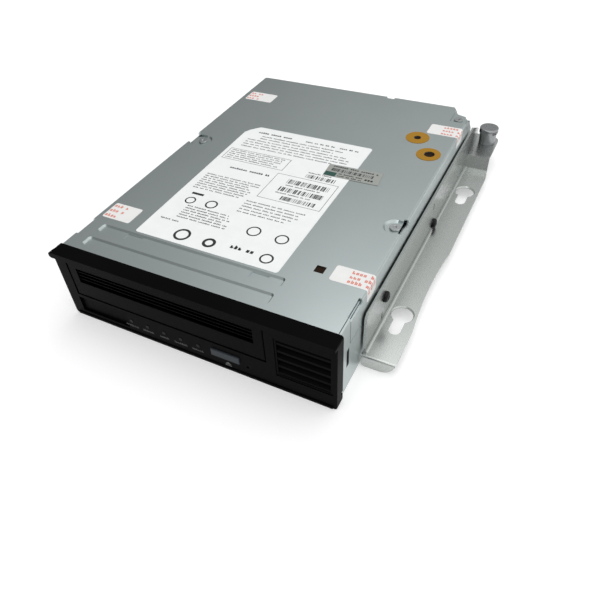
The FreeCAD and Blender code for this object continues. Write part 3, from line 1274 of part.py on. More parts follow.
def leader_grabber():
    """The hooked block at the arm's end that takes the cartridge's leader pin."""
    body = fused([rod(0, 0, 17.0, ARM_Z, ARM_PIN_R), rod(0, 0, ARM_Z - EPS, ARM_Z + ARM_T, 1.2)])
    hook = box(-4, 0.6, -1.0, 1.0, 18.4, ARM_Z - 3.0)
    body = body.cut(hook)
    body.rotate(Vector(0, 0, 0), Vector(0, 0, 1), ARM_START)
    angle = math.radians(ARM_START)
    body.translate(Vector(PIVOT[0] + ARM_R * math.cos(angle), PIVOT[1] + ARM_R * math.sin(angle), 0))
    return body


def thread_motor():
    """The threader's motor."""
    return can_motor(THREAD_MOTOR[0], THREAD_MOTOR[1], THREAD_MOTOR_TOP, MOTOR_SHAFT_R, SHAFT_DEPTH)


def thread_pinion():
    """The pinion on the threader's motor, in mesh with the arm's gear."""
    half_pitch = 180.0 / ARM_PINION_TEETH
    return shaft_pinion(THREAD_MOTOR[0], THREAD_MOTOR[1], ARM_GEAR_Z, ARM_Z - 0.2, ARM_PINION_TEETH,
                        ARM_MOTOR_ANGLE + 180.0 + half_pitch, THREAD_MOTOR_TOP)


# ================================================================ mounting bracket
def bracket_outline():
    """The flange's plan: a waisted outer edge with round corners, cut from a straight strip."""
    z0, z1 = -1.0, CASE_H
    x0 = BR_X0
    strip = box(x0, BR_OUT_X, BR_Y0 - 3, PAD_Y1, z0, z1)
    middle = (BR_WAIST_Y0 + BR_WAIST_Y1) / 2
    chord = (BR_WAIST_Y1 - BR_WAIST_Y0) / 2
    radius = (chord ** 2 + BR_WAIST ** 2) / (2 * BR_WAIST)
    waist = Part.makeCylinder(radius, z1 - z0, Vector(BR_OUT_X - BR_WAIST + radius, middle, z0))
    shoulder = prism([(BR_OUT_X + 1, PAD_Y0 - 12, z0), (BR_OUT_X, PAD_Y0 - 12, z0), (PAD_X1, PAD_Y0, z0),
                      (PAD_X1, PAD_Y1 + 1, z0), (BR_OUT_X + 1, PAD_Y1 + 1, z0)], (0, 0, z1 - z0))
    strip = strip.cut(waist).cut(shoulder)
    return round_edges(strip, BR_CORNER_R, lambda e: is_vertical(e)
                       and abs(e.Vertexes[0].X - PAD_X1) < EPS and e.Vertexes[0].Y > PAD_Y1 - EPS)


def lip_outline():
    """The front lip seen from the front: both lower corners round, the outer one much more."""
    y0, y1 = BR_Y0 - BR_T - 1, BR_Y0 + 1.5
    x0, z0 = BR_X0 - 1, -1.0
    low = BR_FLANGE_Z + 0.5
    inner = box(BR_X0 - 1, BR_X0 + BR_LIP_INNER_R, y0, y1, z0, BR_LIP_INNER_R).cut(
        rod_y(BR_X0 + BR_LIP_INNER_R, y0 - 1, y1 + 1, BR_LIP_INNER_R, BR_LIP_INNER_R))
    middle = BR_OUT_X - BR_LIP_R
    outer = box(middle, BR_OUT_X + 1, y0, y1, z0, low).cut(
        rod_y(middle, y0 - 1, y1 + 1, BR_LIP_R, BR_LIP_R))
    return [inner, outer]


def flange_section():
    """The flange's lengthwise section: front lip, flat run, ramp and pad, all one thickness."""
    z, t = BR_FLANGE_Z, BR_T
    y0 = BR_Y0
    shift = t * math.tan(math.atan2(PAD_Z - z, PAD_Y0 - RAMP_Y0) / 2)
    points = [(BR_X0, y0 - t, 0), (BR_X0, y0 - t, z), (BR_X0, RAMP_Y0, z), (BR_X0, PAD_Y0, PAD_Z),
              (BR_X0, PAD_Y1, PAD_Z), (BR_X0, PAD_Y1, PAD_Z - t), (BR_X0, PAD_Y0 + shift, PAD_Z - t),
              (BR_X0, RAMP_Y0 + shift, z - t), (BR_X0, y0, z - t), (BR_X0, y0, 0)]
    strip = prism(points, (BR_OUT_X - BR_X0, 0, 0))
    return round_edges(strip, 1.1, lambda e: all(
        abs(v.Y - (y0 - t)) < EPS and abs(v.Z - z) < EPS for v in e.Vertexes))


def keyhole(y):
    """One keyhole: a large round end with a narrower slot towards the front."""
    z0, z1 = BR_FLANGE_Z - BR_T - 1, BR_FLANGE_Z + 1
    top = BR_FLANGE_Z
    return fused([
        rod(KEY_X, y, z0, z1, KEY_R),
        slot_y(KEY_X, y - KEY_SLOT_L, y, z0, z1, KEY_SLOT_R),
        Part.makeCone(KEY_R, KEY_R + 0.5, 0.5 + EPS, Vector(KEY_X, y, top - 0.5)),
    ])


BR_SCREWS = ((HOLE_FRONT_Y, SIDE_HOLE_Z2), (HOLE_REAR_Y, SIDE_HOLE_Z1))
BR_BOSS_R = 4.2
BR_SLITS = ((44.9, 11.3), (123.4, 23.0))
BR_SLIT_W = 1.0
BR_SLIT_H = 4.2
BR_HOLE_R = 1.7
BR_HEAD_R = 2.75
BR_HEAD_H = 1.9


def mounting_bracket():
    """The bracket: waisted flange, upright wall with pressed bosses, keyholes, lip and rear pad."""
    flange = without(flange_section().common(bracket_outline()), lip_outline())
    wall_z0 = BR_FLANGE_Z - BR_T
    pad_z0 = PAD_Z - BR_T
    wall = prism([(BR_X0, BR_WALL_Y0, wall_z0), (BR_X0, BR_WALL_Y0, BR_WALL_TOP - 2.0),
                  (BR_X0, BR_WALL_Y0 + 2.0, BR_WALL_TOP), (BR_X0, CASE_D, BR_WALL_TOP),
                  (BR_X0, BR_WALL_Y1, BR_WALL_LOW), (BR_X0, BR_WALL_Y1, pad_z0), (BR_X0, PAD_Y0, pad_z0),
                  (BR_X0, RAMP_Y0, wall_z0)], (BR_T, 0, 0))
    r = BR_BEND_R
    bend = box(BR_X1, BR_X1 + r, BR_WALL_Y0, RAMP_Y0, BR_FLANGE_Z, BR_FLANGE_Z + r).cut(
        Part.makeCylinder(r, RAMP_Y0, Vector(BR_X1 + r, 0, BR_FLANGE_Z + r), Vector(0, 1, 0)))
    parts = [flange, wall, bend]
    parts += [rod_x(HALF_W, BR_X0 + 0.1, y, z, BR_BOSS_R) for y, z in BR_SCREWS]
    bracket = fused(parts)
    cuts = [rod_x(HALF_W - 1, BR_X1 + 1, y, z, BR_HOLE_R) for y, z in BR_SCREWS]
    w, h = BR_SLIT_W / 2, BR_SLIT_H / 2
    cuts += [box(HALF_W, BR_X1 + 1, y - w, y + w, z - h, z + h) for y, z in BR_SLITS]
    cuts += [keyhole(KEY_Y), keyhole(KEY_Y + KEY_PITCH)]
    cuts += [rod_x(BR_X1, BR_X1 + BR_BEND_R + 1, y, z, BR_HEAD_R + 0.3) for y, z in BR_SCREWS]
    cuts.append(rod(KNOB_X, KNOB_Y, 0, CASE_H, SLEEVE_R - 1.2))
    return without(bracket, cuts)


def bracket_screws():
    """Two dome-headed screws through the bracket's wall into the case."""
    screws = []
    tip = HALF_W - BASE_T - COLLAR_H + 0.2
    for y, z in BR_SCREWS:
        head = rod_x(BR_X1, BR_X1 + BR_HEAD_H, y, z, BR_HEAD_R)
        head = round_edges(head, 1.2, lambda e: e.Vertexes[0].X > BR_X1 + BR_HEAD_H - EPS
                           and len(e.Vertexes) == 1)
        socket = [(BR_X1 + BR_HEAD_H - 0.9, y + 1.15 * math.cos(math.radians(60 * k)),
                   z + 1.15 * math.sin(math.radians(60 * k))) for k in range(6)]
        shank = rod_x(tip, BR_X1 + 0.1, y, z, FORMED_R - RUN)
        screws.append(head.fuse(shank).cut(prism(socket, (2, 0, 0))))
    return Part.makeCompound(screws)


def captive_bushing():
    """The sleeve swaged into the pad: a body that widens upwards and a collar through the pad."""
    x, y = KNOB_X, KNOB_Y
    neck_r = SLEEVE_R - 1.2
    body = fused([Part.makeCone(SLEEVE_R - 0.3, SLEEVE_R, SLEEVE_TOP - PAD_Z, Vector(x, y, PAD_Z)),
                  rod(x, y, PAD_Z - BR_T, PAD_Z + 0.1, neck_r)])
    return body.cut(rod(x, y, 0, CASE_H, STUD_R + RUN))


NOTCH_W = 3.2
NOTCH_H = 0.9
NOTCH_ANGLE = -39.0


def captive_screw():
    """The thumbscrew: a grooved cap with a side notch, a relieved shank and a short thread."""
    x, y = KNOB_X, KNOB_Y
    z0 = SLEEVE_TOP + CLEAR
    cap = rod(x, y, z0, KNOB_TOP, KNOB_R)
    cap = round_edges(cap, 0.6, lambda e: len(e.Vertexes) == 1 and e.Vertexes[0].Z > KNOB_TOP - EPS)
    groove = tube(x, y, KNOB_TOP - 1.9, KNOB_TOP - 1.4, KNOB_R + 1, KNOB_R - 0.5)
    thread_top = STUD_TIP_Z + STUD_CHAMFER + STUD_L
    thread = rod(x, y, STUD_TIP_Z, thread_top, STUD_R)
    thread = thread.makeChamfer(STUD_CHAMFER, [e for e in thread.Edges if len(e.Vertexes) == 1
                                               and e.Vertexes[0].Z < STUD_TIP_Z + EPS])
    shank = rod(x, y, thread_top - 1, z0 + 1, SHANK_R)
    notch = box(KNOB_R - 0.9, KNOB_R + 1, -NOTCH_W / 2, NOTCH_W / 2, z0 + 0.2, z0 + 0.2 + NOTCH_H)
    notch.rotate(Vector(0, 0, 0), Vector(0, 0, 1), NOTCH_ANGLE)
    notch.translate(Vector(x, y, 0))
    return fused([cap.cut(groove).cut(notch), thread, shank])


CLIP_T = 0.7
CLIP_R = 3.3


def captive_clip():
    """The retaining clip on the stud that meets the pad when the screw is lifted."""
    top = PAD_Z - BR_T - KNOB_LIFT - CLEAR
    return tube(KNOB_X, KNOB_Y, top - CLIP_T, top, CLIP_R, SHANK_R + RUN)


# ================================================================ all pieces
PIECES = {
    "base_frame": base_frame,
    "top_cover": top_cover,
    "cover_screws": cover_screws,
    "inspection_seals": inspection_seals,
    "rear_panel": rear_panel,
    "front_bezel": front_bezel,
    "cartridge_door": cartridge_door,
    "door_hinge_pin": door_hinge_pin,
    "door_spring": door_spring,
    "vent_grille": vent_grille,
    "eject_button": eject_button,
    "eject_switch": eject_switch,
    "front_board": front_board,
    "light_pipes": light_pipes,
    "mounting_bracket": mounting_bracket,
    "bracket_screws": bracket_screws,
    "captive_bushing": captive_bushing,
    "captive_screw": captive_screw,
    "captive_clip": captive_clip,
    "deck_plate": deck_plate,
    "deck_screws": deck_screws,
    "main_board": main_board,
    "board_chips": board_chips,
    "interface_connector": interface_connector,
    "service_port": service_port,
    "supply_stator": lambda: stator(CART_XC, HUB_Y),
    "supply_rotor": lambda: rotor(CART_XC, HUB_Y, BEARING_Z + 1.0),
    "supply_clutch": supply_clutch,
    "takeup_stator": lambda: stator(*TAKEUP),
    "takeup_rotor": lambda: rotor(TAKEUP[0], TAKEUP[1], REEL_Z0 + 0.5),
    "takeup_reel": takeup_reel,
    "guide_rail_left": lambda: guide_rail(-1),
    "guide_rail_right": lambda: guide_rail(1),
    "tray_sled": tray_sled,
    "lift_bars": lift_bars,
    "cartridge_tray": cartridge_tray,
    "load_gear": load_gear,
    "load_gear_post": load_gear_post,
    "load_motor": load_motor,
    "load_pinion": load_pinion,
    "guide_posts": guide_posts,
    "head_base": head_base,
    "head_guide_rods": head_guide_rods,
    "head_motor": head_motor,
    "lead_screw": lead_screw,
    "head_carriage": head_carriage,
    "tape_head": tape_head,
    "arm_post": arm_post,
    "threading_arm": threading_arm,
    "leader_grabber": leader_grabber,
    "thread_motor": thread_motor,
    "thread_pinion": thread_pinion,
}
for number in range(4):
    PIECES["guide_roller_%d" % (number + 1)] = lambda n=number: guide_roller(n)


def main():
    """Build every piece, move it to the part's frame and write it."""
    os.makedirs("parts", exist_ok=True)
    origin_y = HOLE_FRONT_Y + HOLE_PITCH_Y / 2
    for name, make in PIECES.items():
        shape = make()
        shape.translate(Vector(0, -origin_y, 0))
        solids = shape.Solids
        print("%-20s solids %d volume %9.2f valid %s" % (name, len(solids), shape.Volume, shape.isValid()))
        shape.exportStep(os.path.join("parts", name + ".step"))
    print("arm swing %.3f degrees" % (ARM_END - ARM_START))
    print("rack pinion radius %.3f" % (RACK_MODULE * SMALL_TEETH / 2))


main()
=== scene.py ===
# %% [markdown]
# # A half-height data tape drive
# This notebook dresses the imported solids of a tape drive: a zinc-coated steel case, a black moulded
# bezel and a bright side bracket with a captive thumbscrew. The solids already have the right size and
# move on the right joints, so the positions below are read from them or counted from their faces. The
# first cell loads them.

import json
import math

import bmesh
import bpy
import numpy as np
from mathutils import Matrix, Vector


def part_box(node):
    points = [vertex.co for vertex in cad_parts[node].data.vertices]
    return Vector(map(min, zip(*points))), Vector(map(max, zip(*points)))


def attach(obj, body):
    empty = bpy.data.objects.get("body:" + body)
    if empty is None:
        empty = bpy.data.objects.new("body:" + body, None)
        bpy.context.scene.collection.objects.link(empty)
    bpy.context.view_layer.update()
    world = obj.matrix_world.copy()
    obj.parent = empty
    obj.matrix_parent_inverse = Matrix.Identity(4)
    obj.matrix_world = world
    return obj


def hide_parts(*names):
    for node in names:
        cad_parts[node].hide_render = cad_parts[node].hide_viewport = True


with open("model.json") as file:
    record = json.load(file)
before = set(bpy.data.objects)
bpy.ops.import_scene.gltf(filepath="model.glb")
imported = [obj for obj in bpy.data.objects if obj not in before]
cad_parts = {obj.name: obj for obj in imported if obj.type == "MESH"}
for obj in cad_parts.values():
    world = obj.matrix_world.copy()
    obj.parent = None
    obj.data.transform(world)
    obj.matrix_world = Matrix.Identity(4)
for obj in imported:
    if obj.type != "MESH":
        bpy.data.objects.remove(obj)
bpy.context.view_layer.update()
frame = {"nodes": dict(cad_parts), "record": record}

# %% [markdown]
# ## Places in millimetres
# A drive is drawn in millimetres from the plane where its bezel seats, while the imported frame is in
# metres and starts at the underside holes. Every coordinate could be typed in metres, but then no
# number could be held against a drawing, so one helper turns the first into the second. The seat plane
# is the front of the base frame, and the top face is where the two film rings lie.

# %% Places
MM = 0.001
BOX_LOW = 0
X, Y, Z = 0, 1, 2
SEAT_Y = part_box("base_frame")[BOX_LOW][Y]
FLOOR_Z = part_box("base_frame")[BOX_LOW][Z]
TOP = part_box("inspection_seals")[BOX_LOW][Z] / MM
HALF_W = -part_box("base_frame")[BOX_LOW][X] / MM


def at(x, y, z):
    """A point given in millimetres from the bezel's seat, as metres in the frame."""
    return Vector((x * MM, y * MM + SEAT_Y, z * MM))


def placed(points):
    """An array of millimetre points, last axis x, y, z, scaled to metres and moved to the seat."""
    return np.asarray(points, dtype=float) * MM + np.array([0.0, SEAT_Y, 0.0])


print("top face at", round(TOP, 2), "mm, half width", round(HALF_W, 2), "mm")

# %% [markdown]
# ## Colours and nodes
# Paint charts give colours as sRGB hex values, while a renderer works in linear light, so one function
# turns the one into the other. A second one adds a shader node with its settings and links, which keeps
# each material below as short as its recipe.

# %% Colour and node helpers
def linear(hex_colour):
    """An sRGB hex colour as linear red, green, blue and alpha. Each channel c becomes
    ((c + 0.055) / 1.055) ** 2.4, or c / 12.92 where it is very dark."""
    channels = [int(hex_colour[i:i + 2], 16) / 255 for i in (1, 3, 5)]
    return tuple(c / 12.92 if c <= 0.04045 else ((c + 0.055) / 1.055) ** 2.4
                 for c in channels) + (1.0,)


def add_node(tree, kind, inputs=None, **properties):
    """One node with its properties set, and each input given a value or linked to a socket."""
    node = tree.nodes.new("ShaderNode" + kind)
    for key, value in properties.items():
        setattr(node, key, value)
    for key, value in (inputs or {}).items():
        if isinstance(value, bpy.types.NodeSocket):
            tree.links.new(value, node.inputs[key])
        else:
            node.inputs[key].default_value = value
    return node


def new_material(name):
    """An empty material, its node tree and its Object coordinates, which are in metres."""
    material = bpy.data.materials.new(name)
    material.use_nodes = True
    tree = material.node_tree
    tree.nodes.clear()
    coordinates = add_node(tree, "TexCoord").outputs["Object"]
    return material, tree, coordinates


def surface_output(tree, shader):
    """Join a shader to the material's surface."""
    add_node(tree, "OutputMaterial", {"Surface": shader.outputs[0]})


print("black, white:", linear("#000000")[0], linear("#FFFFFF")[0])

# %% [markdown]
# ## Zinc-coated and turned metal
# The case is pressed from electro-galvanised sheet: satin, grey and slightly green, with a faint cloudy
# patchiness from the coating bath and a fine grain along the direction it was rolled. A picture of such
# a sheet would stretch round the folds, so the pattern is worked out in space instead. The patches are
# tens of millimetres across. The real grain is some 0.1 mm and is drawn at 0.4 mm, so that it shows.

# %% Zinc-coated and turned metal
PER_METRE = 1000.0
GRAIN_STRETCH = 8             # a rolled grain is this many times as long as it is wide
GRAIN_DEPTH = 0.000004        # metres
NOISE_LOW, NOISE_HIGH = 0.3, 0.7


def rolled_metal(name, light, dark, roughness, spread, cloud_mm, grain_mm, grain_bump):
    """Bare or plated metal. Colour runs between two values with a soft cloud. Roughness is the base
    value plus spread times the cloud, and plus or minus spread with a grain stretched along Y."""
    material, tree, where = new_material(name)
    cloud_at = add_node(tree, "Mapping", {"Vector": where, "Scale": (PER_METRE / cloud_mm,) * 3})
    cloud = add_node(tree, "TexNoise", {"Vector": cloud_at.outputs[0], "Scale": 1.0, "Detail": 3.0,
                                        "Roughness": 0.55})
    across = PER_METRE / grain_mm
    grain_at = add_node(tree, "Mapping", {"Vector": where,
                                          "Scale": (across, across / GRAIN_STRETCH, across)})
    grain = add_node(tree, "TexNoise", {"Vector": grain_at.outputs[0], "Scale": 1.0, "Detail": 2.0})
    colour = add_node(tree, "MixRGB", {"Fac": cloud.outputs["Fac"], "Color1": linear(dark),
                                       "Color2": linear(light)})
    grain_rough = add_node(tree, "MapRange", {
        "Value": grain.outputs["Fac"], "From Min": NOISE_LOW, "From Max": NOISE_HIGH,
        "To Min": roughness - spread, "To Max": roughness + spread})
    rough = add_node(tree, "Math", {0: cloud.outputs["Fac"], 1: spread, 2: grain_rough.outputs[0]},
                     operation="MULTIPLY_ADD")
    bump = add_node(tree, "Bump", {"Height": grain.outputs["Fac"], "Strength": grain_bump,
                                   "Distance": GRAIN_DEPTH})
    shader = add_node(tree, "BsdfPrincipled", {
        "Base Color": colour.outputs[0], "Metallic": 1.0, "Roughness": rough.outputs[0],
        "Normal": bump.outputs[0]})
    surface_output(tree, shader)
    return material


# Galvanised case sheet: broad soft reflections with a cool, faintly green tinge.
zinc_sheet = rolled_metal("zinc_coated_sheet", "#BAC3C3", "#B1BABA", 0.32, 0.03, 60, 0.4, 0.15)
# Bright zinc plate over thicker steel: smoother and more neutral, so it shows the floor.
bracket_zinc = rolled_metal("bright_zinc_plate", "#BCBFBD", "#B4B8B6", 0.27, 0.01, 40, 0.5, 0.02)
# Machined and pressed small parts: a crisp grey glint on shafts, screws and springs.
plain_steel = rolled_metal("machined_steel", "#B9BBBC", "#A9ACAD", 0.25, 0.03, 12, 0.3, 0.3)
# The thumbscrew's turned steel: the same glint, with its colour made darker as painted shade.
shade_darkened_steel = rolled_metal("turned_steel_painted_shade", "#9C9EA0", "#8C8E90", 0.27, 0.03, 12, 0.3, 0.3)
# Die-cast aluminium: a dull, uneven skin that spreads the light.
cast_metal = rolled_metal("die_cast_aluminium", "#B4B6B6", "#9FA1A1", 0.48, 0.08, 6, 0.9, 0.25)
print("metals:", zinc_sheet.name, bracket_zinc.name, plain_steel.name, shade_darkened_steel.name, cast_metal.name)

# %% [markdown]
# ## Moulded plastics
# The bezel and door are black ABS from a finely etched mould, so they are nearly matte with a soft
# sheen where a light is low. The same recipe in other colours makes the button, the reels, the nylon
# gears and the black-oxide screws, because they too are one colour with a fine even skin. The etched
# grain is 0.2 to 0.4 mm and goes into the bump and, weakly, into the roughness.

# %% Moulded plastic
MOULD_CLOUDS = 60.0           # per metre, so each is about 17 mm across
ETCH_DEPTH = 0.00006          # metres


def moulded_plastic(name, colour, roughness, grain_mm, bump_strength, specular):
    """Etched plastic: one colour made a little lighter and darker by a cloud, with a grain in the
    bump and the roughness."""
    material, tree, where = new_material(name)
    grain_at = add_node(tree, "Mapping", {"Vector": where, "Scale": (PER_METRE / grain_mm,) * 3})
    grain = add_node(tree, "TexNoise", {"Vector": grain_at.outputs[0], "Scale": 1.0, "Detail": 3.0})
    cloud_at = add_node(tree, "Mapping", {"Vector": where, "Scale": (MOULD_CLOUDS,) * 3})
    cloud = add_node(tree, "TexNoise", {"Vector": cloud_at.outputs[0], "Scale": 1.0, "Detail": 2.0})
    value = add_node(tree, "MapRange", {
        "Value": cloud.outputs["Fac"], "From Min": NOISE_LOW, "From Max": NOISE_HIGH,
        "To Min": 0.9, "To Max": 1.12})
    tint = add_node(tree, "HueSaturation", {"Color": linear(colour), "Value": value.outputs[0]})
    rough = add_node(tree, "MapRange", {
        "Value": grain.outputs["Fac"], "From Min": NOISE_LOW, "From Max": NOISE_HIGH,
        "To Min": roughness - 0.04, "To Max": roughness + 0.05})
    bump = add_node(tree, "Bump", {"Height": grain.outputs["Fac"], "Strength": bump_strength,
                                   "Distance": ETCH_DEPTH})
    shader = add_node(tree, "BsdfPrincipled", {
        "Base Color": tint.outputs[0], "Roughness": rough.outputs[0],
        "Specular IOR Level": specular, "Normal": bump.outputs[0]})
    surface_output(tree, shader)
    return material


# Etched black ABS: deep black with hardly any shine.
black_abs = moulded_plastic("black_abs", "#050505", 0.45, 0.3, 0.12, 0.03)
# The button's ABS: a blue-grey that stands out from the bezel.
button_abs = moulded_plastic("blue_grey_abs", "#30363C", 0.40, 0.3, 0.10, 0.25)
# Glass-filled polycarbonate of the reels and tray: charcoal with a satin skin.
mechanism_abs = moulded_plastic("charcoal_polycarbonate", "#242426", 0.45, 0.4, 0.15, 0.4)
# Unpigmented nylon of the gears: a warm off-white.
nylon = moulded_plastic("natural_nylon", "#DAD7C8", 0.45, 0.5, 0.10, 0.4)
# Transfer-moulded epoxy of the chips: matte and slightly rough.
chip_epoxy = moulded_plastic("black_epoxy", "#191919", 0.55, 0.2, 0.2, 0.35)
# The connector's glass-filled resin: black with a weak sheen.
connector_resin = moulded_plastic("connector_resin", "#1C1C1D", 0.50, 0.3, 0.15, 0.4)
# Smoked acrylic lamps: smooth and dark while they are off.
lamp_acrylic = moulded_plastic("smoked_acrylic", "#080808", 0.22, 0.8, 0.03, 0.12)
# Solder mask over glass laminate: glossy green.
board_mask = moulded_plastic("green_solder_mask", "#14532F", 0.30, 1.2, 0.08, 0.5)
# Oiled black oxide on the bracket's screws: black with a small soft glint.
black_oxide = moulded_plastic("black_oxide_steel", "#0B0B0D", 0.30, 0.4, 0.05, 0.2)
# The head's lapped ceramic: dark, brown and smooth.
head_ceramic = moulded_plastic("lapped_ceramic", "#2B2624", 0.22, 0.4, 0.05, 0.5)
print("plastics and dark finishes: 10")

# %% [markdown]
# ## Paper, film and ink
# The labels are coated paper: white, smooth and a little glossy. The rings are amber polyimide film,
# which darkens what lies under it and shines. The ink is a thin matte layer. It could be a pattern in
# the paper's material, but as flat shapes on the paper its edges stay crisp at any distance.

# %% Paper, film and ink
PAPER_DEPTH = 0.0001          # metres


def coated_sheet(name, colour, roughness, coat, patch_mm, specular=0.5):
    """A thin printed sheet: one colour with a faint patchiness, under a clear coat."""
    material, tree, where = new_material(name)
    patch_at = add_node(tree, "Mapping", {"Vector": where, "Scale": (PER_METRE / patch_mm,) * 3})
    patch = add_node(tree, "TexNoise", {"Vector": patch_at.outputs[0], "Scale": 1.0, "Detail": 4.0})
    value = add_node(tree, "MapRange", {
        "Value": patch.outputs["Fac"], "From Min": NOISE_LOW, "From Max": NOISE_HIGH,
        "To Min": 0.965, "To Max": 1.0})
    tint = add_node(tree, "HueSaturation", {"Color": linear(colour), "Value": value.outputs[0]})
    rough = add_node(tree, "MapRange", {
        "Value": patch.outputs["Fac"], "From Min": NOISE_LOW, "From Max": NOISE_HIGH,
        "To Min": roughness, "To Max": roughness + 0.08})
    bump = add_node(tree, "Bump", {"Height": patch.outputs["Fac"], "Strength": 0.05,
                                   "Distance": PAPER_DEPTH})
    shader = add_node(tree, "BsdfPrincipled", {
        "Base Color": tint.outputs[0], "Roughness": rough.outputs[0],
        "Coat Weight": coat, "Coat Roughness": 0.2, "Specular IOR Level": specular,
        "Normal": bump.outputs[0]})
    surface_output(tree, shader)
    return material


# Coated label paper: clean white with a low gloss.
label_paper = coated_sheet("coated_label_paper", "#F4F6F6", 0.42, 0.2, 6)
# Sticker paper: a warmer white, a little shinier.
seal_paper = coated_sheet("security_sticker_paper", "#EEEDEC", 0.40, 0.25, 4)
# Silvered film label: a dull grey that takes the light evenly.
silver_paper = coated_sheet("silvered_label", "#9A9D98", 0.34, 0.3, 3)
# Inks: matte, so they never shine over the print.
black_ink = coated_sheet("black_ink", "#1D1E20", 0.55, 0.0, 2)
red_ink = coated_sheet("red_ink", "#DC8678", 0.55, 0.0, 2)
green_ink = coated_sheet("dark_green_ink", "#15493F", 0.5, 0.0, 2)
grey_ink = coated_sheet("pale_grey_ink", "#6E7170", 0.5, 0.0, 2)
# Amber polyimide: a saturated orange brown.
amber_film = coated_sheet("amber_polyimide", "#A47600", 0.32, 0.0, 5, 0.25)
# Painted shade behind the openings: a dark brown, almost black, and dull.
brown_painted_shade = coated_sheet("brown_painted_shade", "#241508", 0.5, 0.0, 5, 0.1)
print("materials in all:", len(bpy.data.materials))

# %% [markdown]
# ## Edges that catch the light
# Folded sheet and moulded plastic never end in a perfectly sharp edge: a line of light runs along each
# fold. The solids have sharp edges, so each visible one is copied, its flat triangles are joined again
# into whole faces, and a narrow bevel is put on the edges that turn by more than 30 degrees. The solid
# itself is left alone, and the copy stands for it.

# %% Edged copies
BODY_OF = {node: body for body, nodes in frame["record"]["behaviour"]["bodies"].items()
           for node in nodes}
SAME_POINT = 2e-6             # metres
FLAT_ANGLE, SHARP_ANGLE, BEVEL_ANGLE = (math.radians(degrees) for degrees in (0.6, 12, 30))


def edged_copy(node, material, bevel_mm):
    """A copy of a solid with its triangles joined and its sharp edges bevelled."""
    mesh = frame["nodes"][node].data.copy()
    solid = bmesh.new()
    solid.from_mesh(mesh)
    bmesh.ops.remove_doubles(solid, verts=solid.verts, dist=SAME_POINT)
    bmesh.ops.dissolve_limit(solid, angle_limit=FLAT_ANGLE, verts=solid.verts, edges=solid.edges)
    solid.to_mesh(mesh)
    solid.free()
    mesh.materials.clear()
    mesh.materials.append(material)
    mesh.shade_smooth()
    mesh.set_sharp_from_angle(angle=SHARP_ANGLE)
    piece = bpy.data.objects.new(node + "_finished", mesh)
    bpy.context.scene.collection.objects.link(piece)
    bevel = piece.modifiers.new("edge", "BEVEL")
    bevel.width = bevel_mm * MM
    bevel.segments = 2
    bevel.limit_method = "ANGLE"
    bevel.angle_limit = BEVEL_ANGLE
    bevel.use_clamp_overlap = True
    normals = piece.modifiers.new("normals", "WEIGHTED_NORMAL")
    normals.weight = 80
    normals.keep_sharp = True
    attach(piece, BODY_OF[node])
    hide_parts(node)
    return piece


def painted(node, material):
    """Give a solid that keeps its own mesh its material."""
    slots = frame["nodes"][node].data.materials
    slots.clear()
    slots.append(material)


# %% [markdown]
# ## The case and the bracket
# These are the pieces that the eye meets first. The cover and base are thin sheet, so their bevel is
# only a tenth of a millimetre. The bracket is thicker and was tumbled before plating, so its edges are
# rounder. The film rings are thinner than any bevel and keep their own mesh.

# %% Case and bracket
CASE_FINISH = {
    "top_cover": (zinc_sheet, 0.12), "base_frame": (zinc_sheet, 0.12),
    "rear_panel": (zinc_sheet, 0.12), "mounting_bracket": (bracket_zinc, 0.22),
    # The bushing and thumbscrew take the steel whose colour is darkened as painted shade.
    "bracket_screws": (black_oxide, 0.12), "captive_bushing": (shade_darkened_steel, 0.15),
    "captive_screw": (shade_darkened_steel, 0.18), "captive_clip": (plain_steel, 0.08),
    "cover_screws": (plain_steel, 0.12),
}
for node, (finish, bevel_mm) in CASE_FINISH.items():
    edged_copy(node, finish, bevel_mm)
painted("inspection_seals", amber_film)
print("case and bracket pieces:", len(CASE_FINISH) + 1)

# %% [markdown]
# ## The bezel and what moves in it
# The bezel, its louvred insert and the door are separate mouldings in the same black. The button is a
# paler one. The lamps are rods of smoked acrylic that look dark when they are off.

# %% Bezel group
BEZEL_FINISH = {
    "front_bezel": (black_abs, 0.25), "cartridge_door": (black_abs, 0.2),
    "vent_grille": (black_abs, 0.12), "eject_button": (button_abs, 0.15),
}
for node, (finish, bevel_mm) in BEZEL_FINISH.items():
    edged_copy(node, finish, bevel_mm)
painted("light_pipes", lamp_acrylic)
print("bezel pieces:", len(BEZEL_FINISH) + 1)

# %% [markdown]
# ## The mechanism
# Inside are the cast deck, the boards, two flat motors, the reels, the loader and the head. They show
# through the open door and the vents. Their solids are detailed enough as they are, so each only gets
# the finish of its own material.

# %% Mechanism finishes
INNER_FINISH = {
    cast_metal: ("deck_plate", "head_base", "head_carriage"),
    board_mask: ("main_board", "front_board"),
    chip_epoxy: ("board_chips", "eject_switch"),
    connector_resin: ("interface_connector",),
    nylon: ("service_port", "load_gear", "load_pinion", "thread_pinion"),
    mechanism_abs: ("supply_clutch", "takeup_reel", "cartridge_tray", "leader_grabber",
                    "guide_roller_1", "guide_roller_2", "guide_roller_3", "guide_roller_4"),
    head_ceramic: ("tape_head",),
    plain_steel: ("door_hinge_pin", "door_spring", "deck_screws", "supply_stator", "supply_rotor",
                  "takeup_stator", "takeup_rotor", "guide_rail_left", "guide_rail_right",
                  "tray_sled", "lift_bars", "load_gear_post", "load_motor", "guide_posts",
                  "head_guide_rods", "head_motor", "lead_screw", "arm_post", "threading_arm",
                  "thread_motor"),
}
for finish, nodes in INNER_FINISH.items():
    for node in nodes:
        painted(node, finish)
print("inner pieces painted:", sum(len(nodes) for nodes in INNER_FINISH.values()))

# %% [markdown]
# ## Sheets from a grid
# A label is a sheet worked out on a grid: one parameter runs across it and the other along it, and a
# formula gives each point. A plane could be cut to shape instead, but the formula keeps the round
# corners and lets the same sheet run over a bend. A Solidify modifier gives it the thickness of paper.

